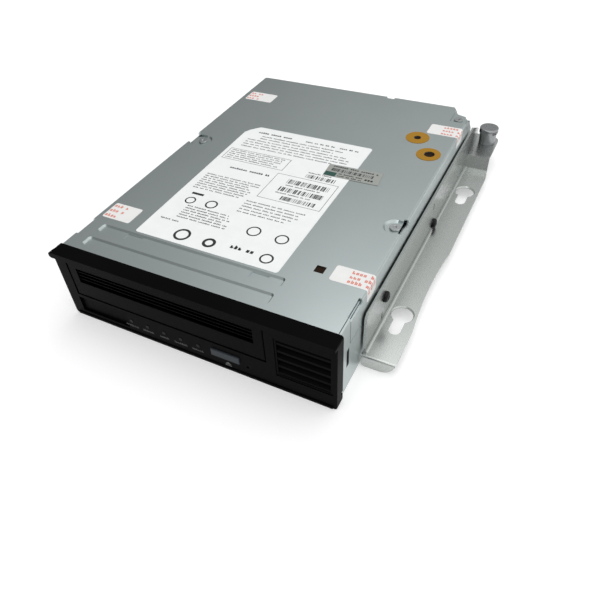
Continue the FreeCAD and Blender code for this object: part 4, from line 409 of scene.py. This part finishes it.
# %% Grid helpers
def thin_piece(name, points, faces, material, thickness_mm):
    """A thin piece of the case: millimetre points and four-cornered faces, thick below its face."""
    vertices = placed(points).reshape(-1, 3).astype(np.float32)
    corners = np.asarray(faces, dtype=np.int32)
    mesh = bpy.data.meshes.new(name)
    mesh.vertices.add(len(vertices))
    mesh.vertices.foreach_set("co", vertices.ravel())
    mesh.loops.add(corners.size)
    mesh.loops.foreach_set("vertex_index", corners.ravel())
    mesh.polygons.add(len(corners))
    mesh.polygons.foreach_set("loop_start", np.arange(0, corners.size, 4, dtype=np.int32))
    mesh.polygons.foreach_set("loop_total", np.full(len(corners), 4, dtype=np.int32))
    mesh.update(calc_edges=True)
    mesh.validate()
    mesh.materials.append(material)
    mesh.shade_flat()
    piece = bpy.data.objects.new(name, mesh)
    bpy.context.scene.collection.objects.link(piece)
    solidify = piece.modifiers.new("thickness", "SOLIDIFY")
    solidify.thickness = thickness_mm * MM
    solidify.offset = -1.0
    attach(piece, "chassis")
    print(name, "faces:", len(corners))


def grid_faces(rows, columns):
    """Corner numbers of a grid's faces, counted row by row, facing along row cross column."""
    index = np.arange(rows * columns).reshape(rows, columns)
    return np.stack([index[:-1, :-1], index[1:, :-1], index[1:, 1:], index[:-1, 1:]],
                    axis=-1).reshape(-1, 4)


# %% [markdown]
# ## The main label
# It is a white rating label with rounded corners and one cut corner. Its sides are functions of how far
# along it a row lies: the right side is straight but for its corner arcs, and the left one also slants
# in at the cut corner.

# %% Main label
LABEL_LIFT = 0.09             # the label's face above the cover
LABEL_THICKNESS = 0.07
INK_LIFT = 0.012              # the ink's face above the paper
INK_THICKNESS = 0.01


def corner_inset(distance, radius):
    """How far an outline steps in at a rounded corner, at a distance from the end of the side:
    radius minus the height of the quarter circle there, and nothing beyond the radius."""
    d = np.clip(radius - distance, 0.0, radius)
    return radius - np.sqrt(np.maximum(radius ** 2 - d ** 2, 0.0))


def flat_label(name, x0, x1, y0, y1, radius, cut, material, lift):
    """A flat label: x = left(y) + u (right(y) - left(y)), with round corners and a cut corner."""
    ends = radius * (1 - np.cos(np.linspace(0, math.pi / 2, 7)))
    slant_start, slant_end = y1 - radius - cut[1], y1 - radius
    middle = np.linspace(y0 + radius, slant_start, 8)[1:-1]
    slant = np.linspace(slant_start, slant_end, 3) if cut[1] else np.array([slant_end])
    y = np.unique(np.round(np.concatenate([y0 + ends, middle, slant, y1 - ends]), 4))
    inset = corner_inset(np.minimum(y - y0, y1 - y), radius)
    along = np.clip((y - (y1 - cut[1])) / max(cut[1], 1e-6), 0.0, 1.0)
    left = x0 + np.maximum(inset, cut[0] * along + inset * (along > 0.99))
    right = x1 - inset
    u = np.linspace(0.0, 1.0, 9)[:, None]
    points = np.empty((9, len(y), 3))
    points[..., X] = left[None, :] + u * (right - left)[None, :]
    points[..., Y] = y[None, :]
    points[..., Z] = TOP + lift
    thin_piece(name, points, grid_faces(9, len(y)), material, LABEL_THICKNESS)


flat_label("rating_label", -46.0, 33.0, 22.5, 138.5, 1.5, (6.6, 7.0), label_paper, LABEL_LIFT)

# %% [markdown]
# ## Greeked print
# The printed lines, bar patterns and frames are only suggested: plain ticks grouped in word lengths
# stand for small type, and stripes of uneven width stand for a scanned code. Each is a list of
# rectangles, worked out together and laid just above the paper. A seeded generator keeps them the same
# in every run.

# %% Print helpers
def type_lines(x0, x1, y0, y1, lines, height, seed, stroke=0.27, ragged=0.15, word=(2, 9)):
    """Rectangles for lines of greeked type: word-long groups of plain upright ticks, two to a cell,
    each of one of three heights, so a line has the grey of small type and holds no letters. Cells
    stay empty between words, and each line ends at random before x1."""
    random = np.random.default_rng(seed)
    pitch, wide, pen = 0.82 * height, 0.6 * height, stroke * height
    cells = int((x1 - x0) / pitch)
    boxes = []
    for y in np.linspace(y1 - height, y0, lines):
        spaces = np.cumsum(random.integers(word[0], word[1], cells) + 1) - 1
        used = int(cells * (1 - random.uniform(0.0, ragged)))
        ticks = np.setdiff1d(np.arange(used), spaces)
        left = x0 + pitch * ticks
        right = left + wide
        low = np.full(len(ticks), y)
        rise = random.choice([0.75, 0.75, 1.0], len(ticks)) * height
        short = random.choice([0.75, 0.75, 0.5], len(ticks)) * height
        boxes += [np.stack([left, left + pen, low, y + rise], axis=1),
                  np.stack([right - pen, right, low, y + short], axis=1)]
    return np.concatenate(boxes)


def stripes(x0, x1, y0, y1, seed, thin=0.22, thick=0.75):
    """Rectangles for a scanned code: stripes and gaps of random width."""
    random = np.random.default_rng(seed)
    widths = random.choice([thin, thin, thin * 1.8, thick], 400)
    edges = x0 + np.cumsum(widths)
    pairs = edges[edges < x1][: (np.sum(edges < x1) // 2) * 2].reshape(-1, 2)
    return np.column_stack([pairs, np.full(len(pairs), y0), np.full(len(pairs), y1)])


def outline(x0, x1, y0, y1, width):
    """Four rectangles that frame a box."""
    return np.array([[x0, x1, y0, y0 + width], [x0, x1, y1 - width, y1],
                     [x0, x0 + width, y0, y1], [x1 - width, x1, y0, y1]])


def printed(name, boxes, z, material):
    """A flat piece of print from rectangles given as x0, x1, y0, y1 rows."""
    b = np.asarray(boxes)
    corners = np.stack([b[:, [0, 2]], b[:, [1, 2]], b[:, [1, 3]], b[:, [0, 3]]], axis=1)
    points = np.concatenate([corners, np.full(corners.shape[:2] + (1,), z)], axis=-1)
    thin_piece(name, points, np.arange(4 * len(b)).reshape(-1, 4), material, INK_THICKNESS)


# %% [markdown]
# ## The main label's print
# From the back of the drive to its front: a heading, a paragraph, a framed note, two columns of small
# type, a framed block of codes with their captions, and a row of bold marks by the bezel. Each row
# below is one of these blocks, given by its x and y limits, its number of lines and the height of its
# type in millimetres.

# %% The main label's print
ink_z = TOP + LABEL_LIFT + INK_LIFT
label_print = np.concatenate([
    type_lines(-37.3, -14.0, 131.4, 133.4, 1, 1.7, 1, 0.3, 0.0),
    type_lines(-6.0, 13.5, 131.4, 133.2, 1, 1.4, 2, 0.3, 0.0, (2, 5)),
    type_lines(15.5, 28.0, 131.4, 133.2, 1, 1.4, 3, 0.3, 0.0, (2, 5)),
    type_lines(-33.0, 21.0, 125.6, 129.4, 2, 1.15, 4),
    type_lines(-40.0, 27.0, 114.8, 123.8, 4, 1.1, 5),
    outline(-43.6, -4.4, 98.8, 110.6, 0.28),
    type_lines(-42.0, -6.5, 100.4, 109.6, 5, 1.05, 6),
    type_lines(-33.0, -5.6, 90.0, 92.4, 1, 1.7, 7, 0.3),
    type_lines(-41.5, -5.5, 66.6, 81.8, 8, 1.05, 8, 0.27, 0.2),
    np.array([[-38.5, -31.3, 60.9, 62.6]]),
    type_lines(-34.0, -1.0, 40.6, 51.6, 6, 1.05, 9, 0.27, 0.3),
    type_lines(-8.0, 29.6, 56.2, 67.0, 5, 1.05, 10, 0.27, 0.3),
    outline(-5.2, 30.5, 71.8, 96.0, 0.25),
    stripes(9.8, 27.0, 97.4, 100.8, 11),
    stripes(2.8, 28.0, 88.6, 92.8, 12),
    stripes(1.4, 27.4, 80.8, 84.8, 13),
    stripes(6.8, 27.0, 73.6, 77.0, 14),
    type_lines(10.0, 28.0, 101.7, 103.2, 1, 1.1, 15),
    type_lines(4.0, 27.0, 86.2, 87.6, 1, 1.1, 16),
    type_lines(2.0, 26.0, 78.4, 79.8, 1, 1.1, 17),
    type_lines(4.0, 19.0, 29.2, 32.2, 1, 2.6, 18, 0.34, 0.0, (2, 4)),
    type_lines(-41.0, -27.0, 36.4, 38.0, 1, 1.2, 19),
])
printed("rating_label_print", label_print, ink_z, black_ink)

# %% [markdown]
# ## Plain rings on the label
# Where such a label carries approval marks, this one has plain rings of about the same size. A ring is
# the area between two circles: radius runs from inner to outer and the angle goes all the way round,
# so its grid closes on itself.

# %% Rings
RING_STEPS = 48


def ring(name, x, y, z, outer, inner, material):
    """A flat ring: x = cx + r cos t, y = cy + r sin t, for two radii and a full turn of t."""
    t = np.linspace(0.0, 2 * math.pi, RING_STEPS + 1)[:-1]
    r = np.array([inner, outer])[:, None]
    points = np.stack([x + r * np.cos(t), y + r * np.sin(t), np.full((2, RING_STEPS), z)], axis=-1)
    index = np.arange(2 * RING_STEPS).reshape(2, RING_STEPS)
    following = np.roll(index, -1, axis=1)
    faces = np.stack([index[0], index[1], following[1], following[0]], axis=-1)
    thin_piece(name, points, faces, material, INK_THICKNESS)


RINGS = {  # centre x, y, outer and inner radius
    "label_ring_large": (-22.5, 29.2, 4.4, 3.1), "label_ring_middle": (-23.0, 56.2, 3.4, 2.5),
    "label_ring_corner": (23.8, 29.4, 3.4, 2.5), "label_ring_bold": (-6.9, 28.9, 3.4, 1.9),
    "label_ring_inner": (8.4, 45.0, 3.7, 2.9), "label_ring_right": (23.8, 44.6, 3.5, 2.7),
    "label_ring_left": (-35.4, 55.4, 3.0, 2.2),
}
for name, (x, y, outer, inner) in RINGS.items():
    ring(name, x, y, ink_z, outer, inner, black_ink)

# %% [markdown]
# ## The silvered label
# A small silvered label was stuck by hand across the edge of the rating label, so it lies a little
# askew and its corners aren't square. It is the blend of its four corners, which a straight rectangle
# turned by an angle wouldn't match.

# %% Silvered label
SILVER_LIFT = 0.08            # above the rating label
SILVER_THICKNESS = 0.06


def skew_label(name, corners, z, material, thickness_mm):
    """A label with four free corners: each point is their blend by its two parameters."""
    u = np.linspace(0, 1, 6)[:, None, None]
    v = np.linspace(0, 1, 6)[None, :, None]
    a, b, c, d = [np.array(corner, dtype=float) for corner in corners]
    flat = (1 - u) * (1 - v) * a + u * (1 - v) * b + u * v * c + (1 - u) * v * d
    points = np.concatenate([flat, np.full(flat.shape[:2] + (1,), z)], axis=-1)
    thin_piece(name, points, grid_faces(6, 6), material, thickness_mm)


silver_z = TOP + LABEL_LIFT + SILVER_LIFT
skew_label("silvered_label", [(17.8, 103.4), (48.8, 104.2), (47.6, 116.2), (17.1, 115.1)],
           silver_z, silver_paper, SILVER_THICKNESS)
printed("silvered_label_block", [[17.9, 24.4, 103.9, 107.8]], silver_z + INK_LIFT, green_ink)
printed("silvered_label_print", np.concatenate([
    stripes(20.0, 44.5, 109.0, 111.8, 21),
    type_lines(20.0, 46.5, 112.4, 114.6, 1, 1.5, 22, 0.32, 0.0),
    type_lines(25.5, 39.5, 104.8, 108.0, 2, 1.2, 23, 0.3, 0.0),
    type_lines(40.5, 47.8, 105.0, 108.0, 1, 2.0, 24, 0.32, 0.0, (3, 5)),
]), silver_z + INK_LIFT, black_ink)

# %% [markdown]
# ## The security stickers
# Four stickers bridge the cover's seams: two lie flat near the left edge, and two run over the
# right-hand bend and down the side. A bent one could be a flat sheet deformed by a modifier, but a
# path is exact: flat along the top, a quarter circle round the bend, then straight down.

# %% Bent strips
BEND = 1.0                    # outer radius of the cover's long bends
PATH_STEPS = 40


def over_bend(s, start_x, lift):
    """Points at path lengths s from start_x: along the top, round the quarter circle, down."""
    flat = (HALF_W - BEND) - start_x
    arc = (BEND + lift) * math.pi / 2
    angle = np.clip((s - flat) / (BEND + lift), 0.0, math.pi / 2)
    down = np.maximum(s - flat - arc, 0.0)
    x = np.where(s < flat, start_x + s, HALF_W - BEND + (BEND + lift) * np.sin(angle))
    z = np.where(s < flat, TOP + lift, TOP - BEND + (BEND + lift) * np.cos(angle) - down)
    return x, z


def bent_sheet(name, start_x, length, y0, y1, lift, material, radius=1.2):
    """A strip carried along the path over the bend, with round corners at both ends."""
    end = radius * (1 - np.cos(np.linspace(0, math.pi / 2, 6)))
    middle = np.linspace(radius, length - radius, PATH_STEPS)[1:-1]
    s = np.concatenate([end, middle, length - end[::-1]])
    x, z = over_bend(s, start_x, lift)
    inset = corner_inset(np.minimum(s, length - s), radius)
    v = np.linspace(0.0, 1.0, 4)[None, :]
    points = np.empty((len(s), 4, 3))
    points[..., X] = x[:, None]
    points[..., Y] = (y0 + inset)[:, None] + v * (y1 - y0 - 2 * inset)[:, None]
    points[..., Z] = z[:, None]
    thin_piece(name, points, grid_faces(len(s), 4), material, STICKER_THICKNESS)


def bent_print(name, start_x, boxes, lift, material):
    """Print on a bent strip: each rectangle is carried along the same path in three steps."""
    b = np.asarray(boxes)
    u = np.linspace(0.0, 1.0, 4)
    s = (b[:, 0:1] - start_x) + u[None, :] * (b[:, 1:2] - b[:, 0:1])
    x, z = over_bend(s, start_x, lift)
    low = np.stack([x, np.repeat(b[:, 2:3], 4, axis=1), z], axis=-1)
    high = np.stack([x, np.repeat(b[:, 3:4], 4, axis=1), z], axis=-1)
    points = np.stack([low, high], axis=2)
    index = np.arange(points.size // 3).reshape(len(b), 4, 2)
    faces = np.stack([index[:, :-1, 0], index[:, 1:, 0], index[:, 1:, 1], index[:, :-1, 1]], axis=-1)
    thin_piece(name, points, faces.reshape(-1, 4), material, INK_THICKNESS)


# %% [markdown]
# ## Stickers and their red print
# The print fills about half of each sticker: the inner half on the flat ones, and the part that runs
# over the bend on the others. All four have three lines of type.

# %% Stickers
STICKER_THICKNESS = 0.06
SIDE_LIFT, SIDE_INK_LIFT = 0.07, 0.085
EDGE_LIFT, EDGE_INK_LIFT = 0.075, 0.09
SIDE_LENGTH = 25.0            # along the path, over the bend
SIDE_STICKERS = ((55.0, 28.0, 38.4), (54.8, 167.6, 179.2))                   # x0, y0, y1
EDGE_STICKERS = ((-70.0, -53.0, 26.0, 38.4), (-69.4, -50.4, 170.2, 181.4))   # x0, x1, y0, y1
for number, (x0, y0, y1) in enumerate(SIDE_STICKERS, start=1):
    bent_sheet("side_sticker_%d" % number, x0, SIDE_LENGTH, y0, y1, SIDE_LIFT, seal_paper)
    bent_print("side_sticker_%d_print" % number, x0,
               type_lines(x0 + 8.0, x0 + 23.0, y0 + 1.2, y1 - 1.0, 3, 2.1, 30 + number,
                          0.28, 0.0, (3, 6)),
               SIDE_INK_LIFT, red_ink)
for number, (x0, x1, y0, y1) in enumerate(EDGE_STICKERS, start=1):
    flat_label("edge_sticker_%d" % number, x0, x1, y0, y1, 1.0, (0.0, 0.0), seal_paper, EDGE_LIFT)
    printed("edge_sticker_%d_print" % number,
            type_lines(x0 + 0.6, x0 + 9.8, y0 + 1.2, y1 - 1.0, 3, 2.2, 40 + number,
                       0.28, 0.0, (2, 5)),
            TOP + EDGE_INK_LIFT, red_ink)

# %% [markdown]
# ## Painted shade behind the openings
# The two holes under the amber rings and the small square opening are closed from inside by dark
# brown squares of painted shade, so they look dark brown and not black. Each square lies against the
# underside of the cover, and its centre comes from the rings' box or from the right-hand side of the
# case.

# %% Painted shade patches
COVER_SHEET = 0.8
SHADE_PATCH_GAP = 0.02
SEAL_R = 6.75
seals_low, seals_high = [np.array(corner[:2]) / MM - (0.0, SEAT_Y / MM)
                         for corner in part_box("inspection_seals")[:2]]
OPENINGS = [  # centre x, y and half the patch's side
    (seals_low[X] + SEAL_R, seals_high[Y] - SEAL_R, 3.2),
    (seals_high[X] - SEAL_R + 0.5, seals_low[Y] + SEAL_R + 0.2, 4.0),
    (HALF_W - 23.9, 32.5, 3.6),
]
# Each patch is painted shade: a dark brown sheet for the dark inside its opening.
for number, (x, y, half) in enumerate(OPENINGS, start=1):
    flat_label("shade_patch_%d" % number, x - half, x + half, y - half, y + half, 0.6, (0.0, 0.0),
               brown_painted_shade, -COVER_SHEET - SHADE_PATCH_GAP)

# %% [markdown]
# ## Marks on the bezel
# Under the lamps are small pale captions, here plain ticks, and below the button is the usual sign for
# eject, a triangle over a bar. They are thin flat shapes on the bezel's face, which stands 0.7 mm
# behind the button's.

# %% Bezel marks
BUTTON_PROUD = 0.7
FACE_Y = (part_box("eject_button")[BOX_LOW][Y] - SEAT_Y) / MM + BUTTON_PROUD - INK_LIFT
LAMP_PITCH, LAMPS = 9.8, 5
CAPTION_HALF = (3.9, 3.3, 3.0, 4.1, 3.6)


def on_face(name, polygons, material):
    """Flat four-cornered shapes on the bezel's face, given as x and z corners from the front."""
    p = np.asarray(polygons, dtype=float)
    points = np.stack([p[..., 0], np.full(p.shape[:2], FACE_Y), p[..., 1]], axis=-1)
    thin_piece(name, points, np.arange(4 * len(p)).reshape(-1, 4), material, INK_THICKNESS)


def face_box(x0, x1, z0, z1):
    """The corners of a rectangle on the bezel's face."""
    return [(x0, z0), (x1, z0), (x1, z1), (x0, z1)]


lamp_row = [corner[X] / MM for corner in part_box("light_pipes")[:2]]
lamp_x = np.mean(lamp_row) + LAMP_PITCH * (np.arange(LAMPS) - (LAMPS - 1) / 2)
captions = np.concatenate([
    type_lines(x - half, x + half, 5.1, 6.4, 1, 1.3, 50 + number, 0.16, 0.0, (5, 9))
    for number, (x, half) in enumerate(zip(lamp_x, CAPTION_HALF))])
on_face("lamp_captions", [face_box(*box) for box in captions], grey_ink)
on_face("eject_sign", [face_box(18.0, 21.4, 2.6, 3.1),
                       [(18.0, 3.6), (21.4, 3.6), (19.71, 5.1), (19.69, 5.1)]], grey_ink)

# %% [markdown]
# ## The floor
# The drive lies on a plain pale floor. Its colour is a light grey, so that the drive's shadow shows on
# it, and a weak glow that only the camera and mirrored or refracted rays see lifts it to white. The
# glow isn't light on the drive.

# %% Floor
FLOOR_REACH = 4
FLOOR_GLOW = 0.32
floor_mesh = bpy.data.meshes.new("floor")
floor_mesh.from_pydata([(-FLOOR_REACH, -FLOOR_REACH, FLOOR_Z), (FLOOR_REACH, -FLOOR_REACH, FLOOR_Z),
                        (FLOOR_REACH, FLOOR_REACH, FLOOR_Z), (-FLOOR_REACH, FLOOR_REACH, FLOOR_Z)],
                       [], [(0, 1, 2, 3)])
floor = bpy.data.objects.new("floor", floor_mesh)
bpy.context.scene.collection.objects.link(floor)
floor_material, tree, _ = new_material("pale_floor")
seen = add_node(tree, "LightPath")
either = add_node(tree, "Math", {0: seen.outputs["Is Camera Ray"], 1: seen.outputs["Is Glossy Ray"]},
                  operation="MAXIMUM")
any_of = add_node(tree, "Math", {0: either.outputs[0], 1: seen.outputs["Is Transmission Ray"]},
                  operation="MAXIMUM")
glow = add_node(tree, "Math", {0: any_of.outputs[0], 1: FLOOR_GLOW}, operation="MULTIPLY")
surface_output(tree, add_node(tree, "BsdfPrincipled", {
    "Base Color": linear("#E6E6E6"), "Roughness": 0.8, "Specular IOR Level": 0.1,
    "Emission Color": linear("#FFFFFF"), "Emission Strength": glow.outputs[0]}))
floor_mesh.materials.append(floor_material)
print("floor at", FLOOR_Z)

# %% [markdown]
# ## Lamps
# Three soft square lamps: a broad one overhead, which the cover mirrors, a weak one behind that draws a
# line of light along the far edges, and one in front for the bezel. Sheet metal shows what stands round
# it more than it shows its own colour, so broad weak lamps suit it better than one strong one.

# %% Lamps
def softbox(name, place, size, power):
    """A square area lamp that looks at the drive."""
    lamp = bpy.data.lights.new(name, "AREA")
    lamp.shape = "SQUARE"
    lamp.size = size
    lamp.energy = power
    holder = bpy.data.objects.new(name, lamp)
    holder.location = place
    holder.rotation_euler = (-Vector(place)).to_track_quat("-Z", "Y").to_euler()
    bpy.context.scene.collection.objects.link(holder)
    print(name, "at", place, "power", power)


softbox("sky_box", (0.1, 0.2, 1.4), 0.9, 3.4)
softbox("back_box", (-0.15, 0.68, 1.21), 0.5, 0.8)
softbox("front_box", (-0.1, -0.8, 1.2), 0.6, 1.5)

# %% [markdown]
# ## The studio round the drive
# The world stands for the walls and ceiling of a studio with a window to the right. Its strength grows
# from the horizon up and from left to right, and never falls below a dim grey, so the cover gets its
# slow change of tone from one side to the other.

# %% World
CEILING_HEIGHT, CEILING_STRENGTH = 0.6, 0.95   # height of the direction, and the strength there
WINDOW_STRENGTH = 0.6
DIM_STRENGTH, DIM_BLEND = 0.16, 0.2
world = bpy.data.worlds.new("studio")
world.use_nodes = True
tree = world.node_tree
tree.nodes.clear()
sky = add_node(tree, "SeparateXYZ", {0: add_node(tree, "TexCoord").outputs["Object"]})
height = add_node(tree, "MapRange", {
    "Value": sky.outputs["Z"], "From Min": 0.0, "From Max": CEILING_HEIGHT,
    "To Min": 0.0, "To Max": CEILING_STRENGTH})
across = add_node(tree, "Math", {0: sky.outputs["X"], 1: WINDOW_STRENGTH, 2: height.outputs[0]},
                  operation="MULTIPLY_ADD")
strength = add_node(tree, "Math", {0: across.outputs[0], 1: DIM_STRENGTH, 2: DIM_BLEND},
                    operation="SMOOTH_MAX")
background = add_node(tree, "Background", {"Color": linear("#F4F5F4"),
                                           "Strength": strength.outputs[0]})
add_node(tree, "OutputWorld", {"Surface": background.outputs[0]})
bpy.context.scene.world = world
print("world:", world.name)

# %% [markdown]
# ## The camera
# It stands in front of the drive, to its right and above it, and is tilted a few degrees. Its direction
# follows from two angles, and the third turns its frame round that direction, so the three axes are
# written straight into its matrix.

# %% Camera
AZIMUTH, ELEVATION, ROLL = (math.radians(degrees) for degrees in (30.51, 43.94, -4.56))
EYE = (131.1, -139.6, 206.1)  # millimetres from the bezel's seat
look = Vector((-math.sin(AZIMUTH) * math.cos(ELEVATION), math.cos(AZIMUTH) * math.cos(ELEVATION),
               -math.sin(ELEVATION)))
sideways = look.cross(Vector((0, 0, 1))).normalized()
upright = sideways.cross(look)
right = math.cos(ROLL) * sideways + math.sin(ROLL) * upright
up = -math.sin(ROLL) * sideways + math.cos(ROLL) * upright
camera_data = bpy.data.cameras.new("camera")
camera_data.sensor_width = 36.0
camera_data.lens = 34.26
camera_data.shift_x = 0.0257
camera_data.shift_y = 0.0033
camera_data.clip_start = 0.01
camera = bpy.data.objects.new("camera", camera_data)
camera.matrix_world = Matrix.Translation(at(*EYE)) @ Matrix((right, up, -look)).transposed().to_4x4()
bpy.context.scene.collection.objects.link(camera)
bpy.context.scene.camera = camera
bpy.context.scene.view_settings.view_transform = "Standard"
print("camera at", [round(c, 3) for c in camera.location])
